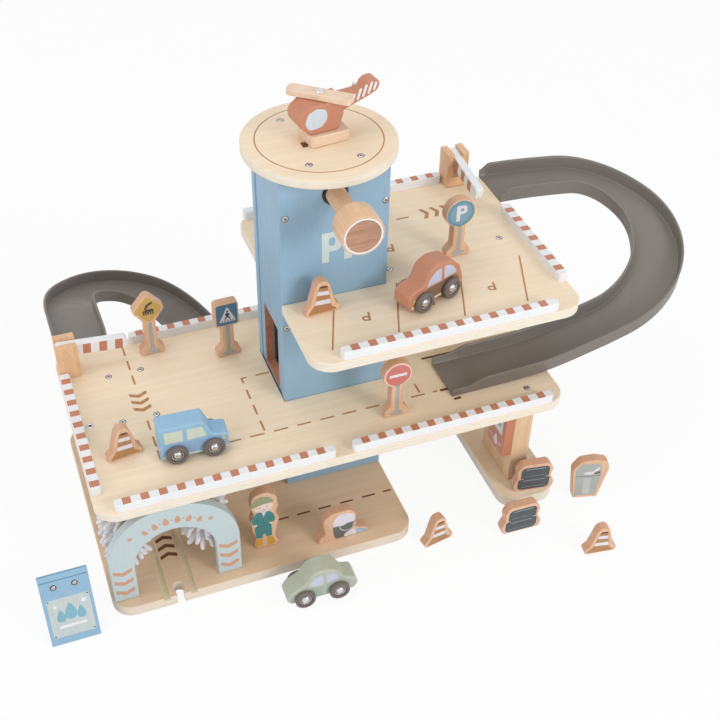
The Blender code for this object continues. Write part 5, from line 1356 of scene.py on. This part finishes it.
stamp("pale_lilac", bucket, [oval(40.4, 3.8, 2.2, 0.5, -8)], 2)


# Front arch: arrows down its legs, and stars, drops and dots over the opening
def over_arch(lean):
    """Point 48 mm from the arch's centre, lean degrees to the left of straight up."""
    return -48.0 * math.sin(math.radians(lean)), 44.5 + 48.0 * math.cos(math.radians(lean))


front_arch = (upright(ARCH_X, FRONT_ARCH_Y, BASE_TOP), BOARD_FACES, "garage")
stamp("chevron_clay", front_arch, [
    chevron(u, v, 8.8, 4.2, 5.0, 180) for u in (-50.1, 49.5) for v in (34.2, 21.0, 7.4)])
stamp("chevron_clay", front_arch, [star(-39.0, 81.2, 3.3, 18), star(35.4, 81.8, 3.3, -14)])
stamp("chevron_clay", front_arch, [
    drop(*over_arch(lean), size, lean) for lean, size in (
        (32.0, 7.5), (19.5, 8.6), (6.5, 9.2), (-6.5, 9.2), (-19.5, 8.6), (-32.0, 7.5))])
stamp("chevron_clay", front_arch, [circle(*over_arch(lean), 0.9, 20)
                                   for lean in (25.8, 13.0, 0.0, -13.0, -25.8)])

# Folding board: a groove under its ridge, two washered screws, and a nailed card on each leaf
LEAF_SCREWS = [(-9.8, 63.8), (9.0, 63.8)]
for sides in leaf_sides:
    stamp("groove_blue", sides, [stroke((-21.6, 71.0), (21.6, 71.0), 0.9)])
    stamp("card_mint", sides, [box(-18.9, 8.6, 19.3, 51.2, 0.8)], 2)
    stamp("card_blue", sides, [drop(-8.6, 32.0, 13.0), drop(0.4, 35.5, 17.0),
                               drop(9.6, 32.0, 13.0)], 3)
    stamp("panel_white", sides, [stroke((-12.0, 19.5), (12.6, 19.5), 3.0),
                                 circle(-12.4, 42.5, 1.6, 24), circle(13.4, 43.5, 2.2, 24)], 3)
    stamp("soot", sides, [circle(u, v, 0.75, 16) for u in (-17.4, 17.8) for v in (10.4, 49.6)], 3)
    # Painted shade: a dark ring round each washered screw, wider than its washer
    stamp("soot", sides, [circle(u, v, 3.0, 28) for u, v in LEAF_SCREWS])
washer = [(0, -0.2), (1.9, -0.2), (1.9, 0.35), (1.5, 0.6), (0.6, 0.7), (0.5, 0.3), (0, 0.3)]
make("leaf_screws", [turned(washer, moved(sides[0], u, v), 32)
                     for sides in leaf_sides for u, v in LEAF_SCREWS],
     STEEL, "garage")

# Pump: a pale display with its bars, and a drop below it
pump = (pump_place, BOARD_FACES, "garage")
stamp("panel_white", pump, [box(33.0, 76.0, 57.0, 116.0, 1.0)])
stamp("sign_grey", pump, [box(37.0, 104.0, 53.0, 110.0, 0.8), box(37.0, 94.0, 53.0, 100.0, 0.8),
                          box(37.0, 84.0, 45.0, 90.0, 0.8)], 2)
stamp("pale_lilac", pump, [drop(44.5, 62.5, 13.0), stroke((32.5, 62.0), (38.5, 62.0), 1.6),
                           stroke((50.5, 62.0), (56.5, 62.0), 1.6)])

# Vehicles' windows, doors, sills and lamps
stamp("window_cream", suv, [
    [(-10.0, 26.6, 0.9), (7.0, 26.6, 0.9), (6.6, 13.2, 0.9), (-10.0, 13.2, 0.9)],
    [(10.8, 26.3, 0.9), (24.8, 26.0, 0.9), (28.7, 14.2, 0.9), (10.6, 13.3, 0.9)]])
stamp("door_blue", suv, [box(-11.6, -4.2, 7.9, 11.5, 0.8), box(9.5, -2.8, 31.0, 11.3, 0.8)])
stamp("sill_cream", suv, [box(11.0, -4.6, 23.2, -2.9, 0.5), box(43.4, -4.6, 46.3, -1.8, 0.5),
                          box(-12.9, -4.6, -10.8, -2.4, 0.5)], 2)
stamp("lamp_yellow", suv, [box(43.0, 5.0, 44.6, 10.2, 0.7)])
stamp("window_lavender", red_car, [
    [(4.0, 13.0, 0.8), (7.0, 18.6, 5), (11.6, 23.2, 5), (16.6, 26.0, 3), (21.9, 26.2, 0.8),
     (22.7, 12.4, 0.8)],
    [(25.5, 26.4, 0.8), (30.8, 26.0, 4), (36.3, 22.3, 4), (41.0, 16.0, 2), (41.4, 12.8, 0.8),
     (26.2, 12.6, 0.8)]])
stamp("door_brown", red_car, [[(3.0, 8.0, 1), (5.8, 10.9, 1), (24.4, 10.7, 3), (34.4, 12.2, 6),
                               (42.4, 9.9, 4), (46.0, 3.4, 2), (44, -3.6, 1), (11, -3.6, 1)]])
stamp("sill_cream", red_car, [box(15.2, -3.9, 23.9, -1.9, 0.4),
                              box(-12.9, -3.9, -10.6, -1.0, 0.4)], 2)
stamp("lamp_yellow", red_car, [box(-10.9, 0.8, -9.0, 5.8, 0.8)])
stamp("window_lavender", green_car, [
    [(4.0, 11.8, 0.8), (6.6, 18.0, 5), (10.8, 22.6, 5), (15.2, 24.4, 3), (18.7, 24.0, 0.8),
     (18.8, 11.5, 0.8)],
    [(22.0, 23.9, 0.8), (28.3, 23.1, 4), (32.8, 19.6, 4), (35.3, 13.4, 0.8), (22.4, 12.2, 0.8)]])
stamp("door_green", green_car, [
    [(1.6, 8.2, 1), (18.9, 9.4, 0.8), (18.9, -3.8, 0.8), (3.0, -3.8, 1)],
    [(21.6, 9.6, 0.8), (36.6, 10.0, 1), (35.0, -3.8, 1), (21.6, -3.8, 0.8)]])

# Helicopter's window and the stripes on its tail
stamp("glass_grey", (heli_front, CABIN_FACES, "helicopter"), [[
    (-3.4, 21.5, 6), (-0.6, 30.6, 6), (8.0, 33.8, 7), (16.8, 31.2, 5), (17.6, 22.0, 6),
    (12.0, 15.8, 6), (0.0, 14.8, 6)]])
stamp("panel_white", (heli_front, TAIL_FACES, "helicopter"), [
    stroke((middle + 0.34 * (low - 35), low), (middle + 0.34 * (high - 35), high), 2.3)
    for middle, low, high in ((41.6, 27.6, 33.6), (46.1, 28.6, 35.8), (50.7, 29.8, 39.6),
                              (55.4, 31.4, 41.8), (60.0, 33.2, 43.4), (64.5, 35.6, 42.4))])

tones = {ink: (shade(*tone), slot) for slot, inks in INKS.items() for ink, tone in inks.items()}
for (body, ink), shells in skins.items():
    tone, slot = tones[ink]
    make(body + "_print_" + ink, shells,
         printed(ink + "_ink" if body == "garage" else body + "_" + ink, tone), body)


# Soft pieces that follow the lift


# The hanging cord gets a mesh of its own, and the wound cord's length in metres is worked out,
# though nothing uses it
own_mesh(hanging_cord)
winding_steps = np.linalg.norm(np.diff(winding_path, axis=0), axis=1)
float(winding_steps.sum() * 0.001)


# Stage, light and camera

def stage():
    """Level white floor. What the camera sees of it is paper white with the object's shadow."""
    data = bpy.data.meshes.new("floor")
    size = 6.0
    data.from_pydata([(-size, -size, 0), (size, -size, 0), (size, size, 0), (-size, size, 0)], [],
                     [(0, 1, 2, 3)])
    made = Finish("floor_white", 0.9)
    made.colour(made.mix(made.span(made.noise(2.0), 0.3, 0.7), shade(244, 244, 244),
                         shade(247, 247, 247)))
    glow = made.add("Emission", {"Color": (1, 1, 1, 1), "Strength": 1.0})
    rays = made.add("LightPath", {}).node
    seen = made.math("MAXIMUM", rays.outputs["Is Camera Ray"], rays.outputs["Is Glossy Ray"])
    share = made.math("MULTIPLY", seen, 0.9)
    mixed = made.add("MixShader", {0: share, 1: made.shader.outputs[0], 2: glow})
    made.tree.links.new(mixed, made.tree.nodes["Material Output"].inputs["Surface"])
    floor = bpy.data.objects.new("floor", data)
    data.materials.append(made.material)
    bpy.context.scene.collection.objects.link(floor)
    floor.location.z = -0.0004


def sky_light():
    """White surroundings: full white to the camera and to mirrored or refracted rays, softer as
    light."""
    world = bpy.data.worlds.new("studio")
    world.use_nodes = True
    bpy.context.scene.world = world
    tree = world.node_tree
    background = tree.nodes["Background"]
    background.inputs["Color"].default_value = (1, 1, 1, 1)
    rays = wired(tree, "LightPath", {}).node.outputs
    bent = wired(tree, "Math", {0: rays["Is Glossy Ray"], 1: rays["Is Transmission Ray"]},
                 operation="MAXIMUM")
    seen = wired(tree, "Math", {0: rays["Is Camera Ray"], 1: bent}, operation="MAXIMUM")
    strength = wired(tree, "MapRange", {"Value": seen, "To Min": 0.6, "To Max": 1.0})
    tree.links.new(strength, background.inputs["Strength"])


def put(name, data, columns):
    """Lamp or camera whose axes and place are the columns of its matrix."""
    thing = bpy.data.objects.new(name, data)
    bpy.context.scene.collection.objects.link(thing)
    thing.matrix_world = Matrix(np.column_stack(columns).tolist() + [(0, 0, 0, 1)])
    return thing


def lamp(name, place, aim, size, power):
    """Round area light: its third axis runs from what it lights to where it stands."""
    light = bpy.data.lights.new(name, "AREA")
    light.shape = "DISK"
    light.size = size
    light.energy = power
    away = np.array(place, float) - np.array(aim, float)
    away /= np.linalg.norm(away)
    side = np.cross([0, 0, 1], away)
    side /= np.linalg.norm(side)
    put(name, light, [side, np.cross(away, side), away, place])


def camera():
    """The photograph's camera: pitch, roll and heading in radians, place in the drawing's mm."""
    pitch, roll, heading = 0.714, 0.025, 0.378
    ahead = np.array([math.sin(heading) * math.cos(pitch), math.cos(heading) * math.cos(pitch),
                      -math.sin(pitch)])
    right = np.array([math.cos(heading), -math.sin(heading), 0.0])
    up = np.cross(right, ahead)
    right, up = (math.cos(roll) * right + math.sin(roll) * up,
                 math.cos(roll) * up - math.sin(roll) * right)
    place = np.array([-34.943, -683.685, 890.333]) * 0.001 + ORIGIN
    focus, picture, sensor = 1152.710, 720.0, 36.0
    data = bpy.data.cameras.new("view")
    data.sensor_width = sensor
    data.lens = focus / picture * sensor
    data.clip_start, data.clip_end = 0.01, 20.0
    bpy.context.scene.camera = put("view", data, [right, up, -ahead, place])


stage()
sky_light()
lamp("key", (1.25, -1.9, 1.15), (0.1, 0.0, 0.15), 0.9, 20.0)
lamp("overhead", (-0.3, 0.5, 2.4), (0.1, 0.0, 0.1), 1.6, 9.0)
lamp("fill", (-2.1, -0.7, 1.3), (0.1, 0.0, 0.1), 2.0, 16.0)
camera()
bpy.context.scene.view_settings.view_transform = "Standard"
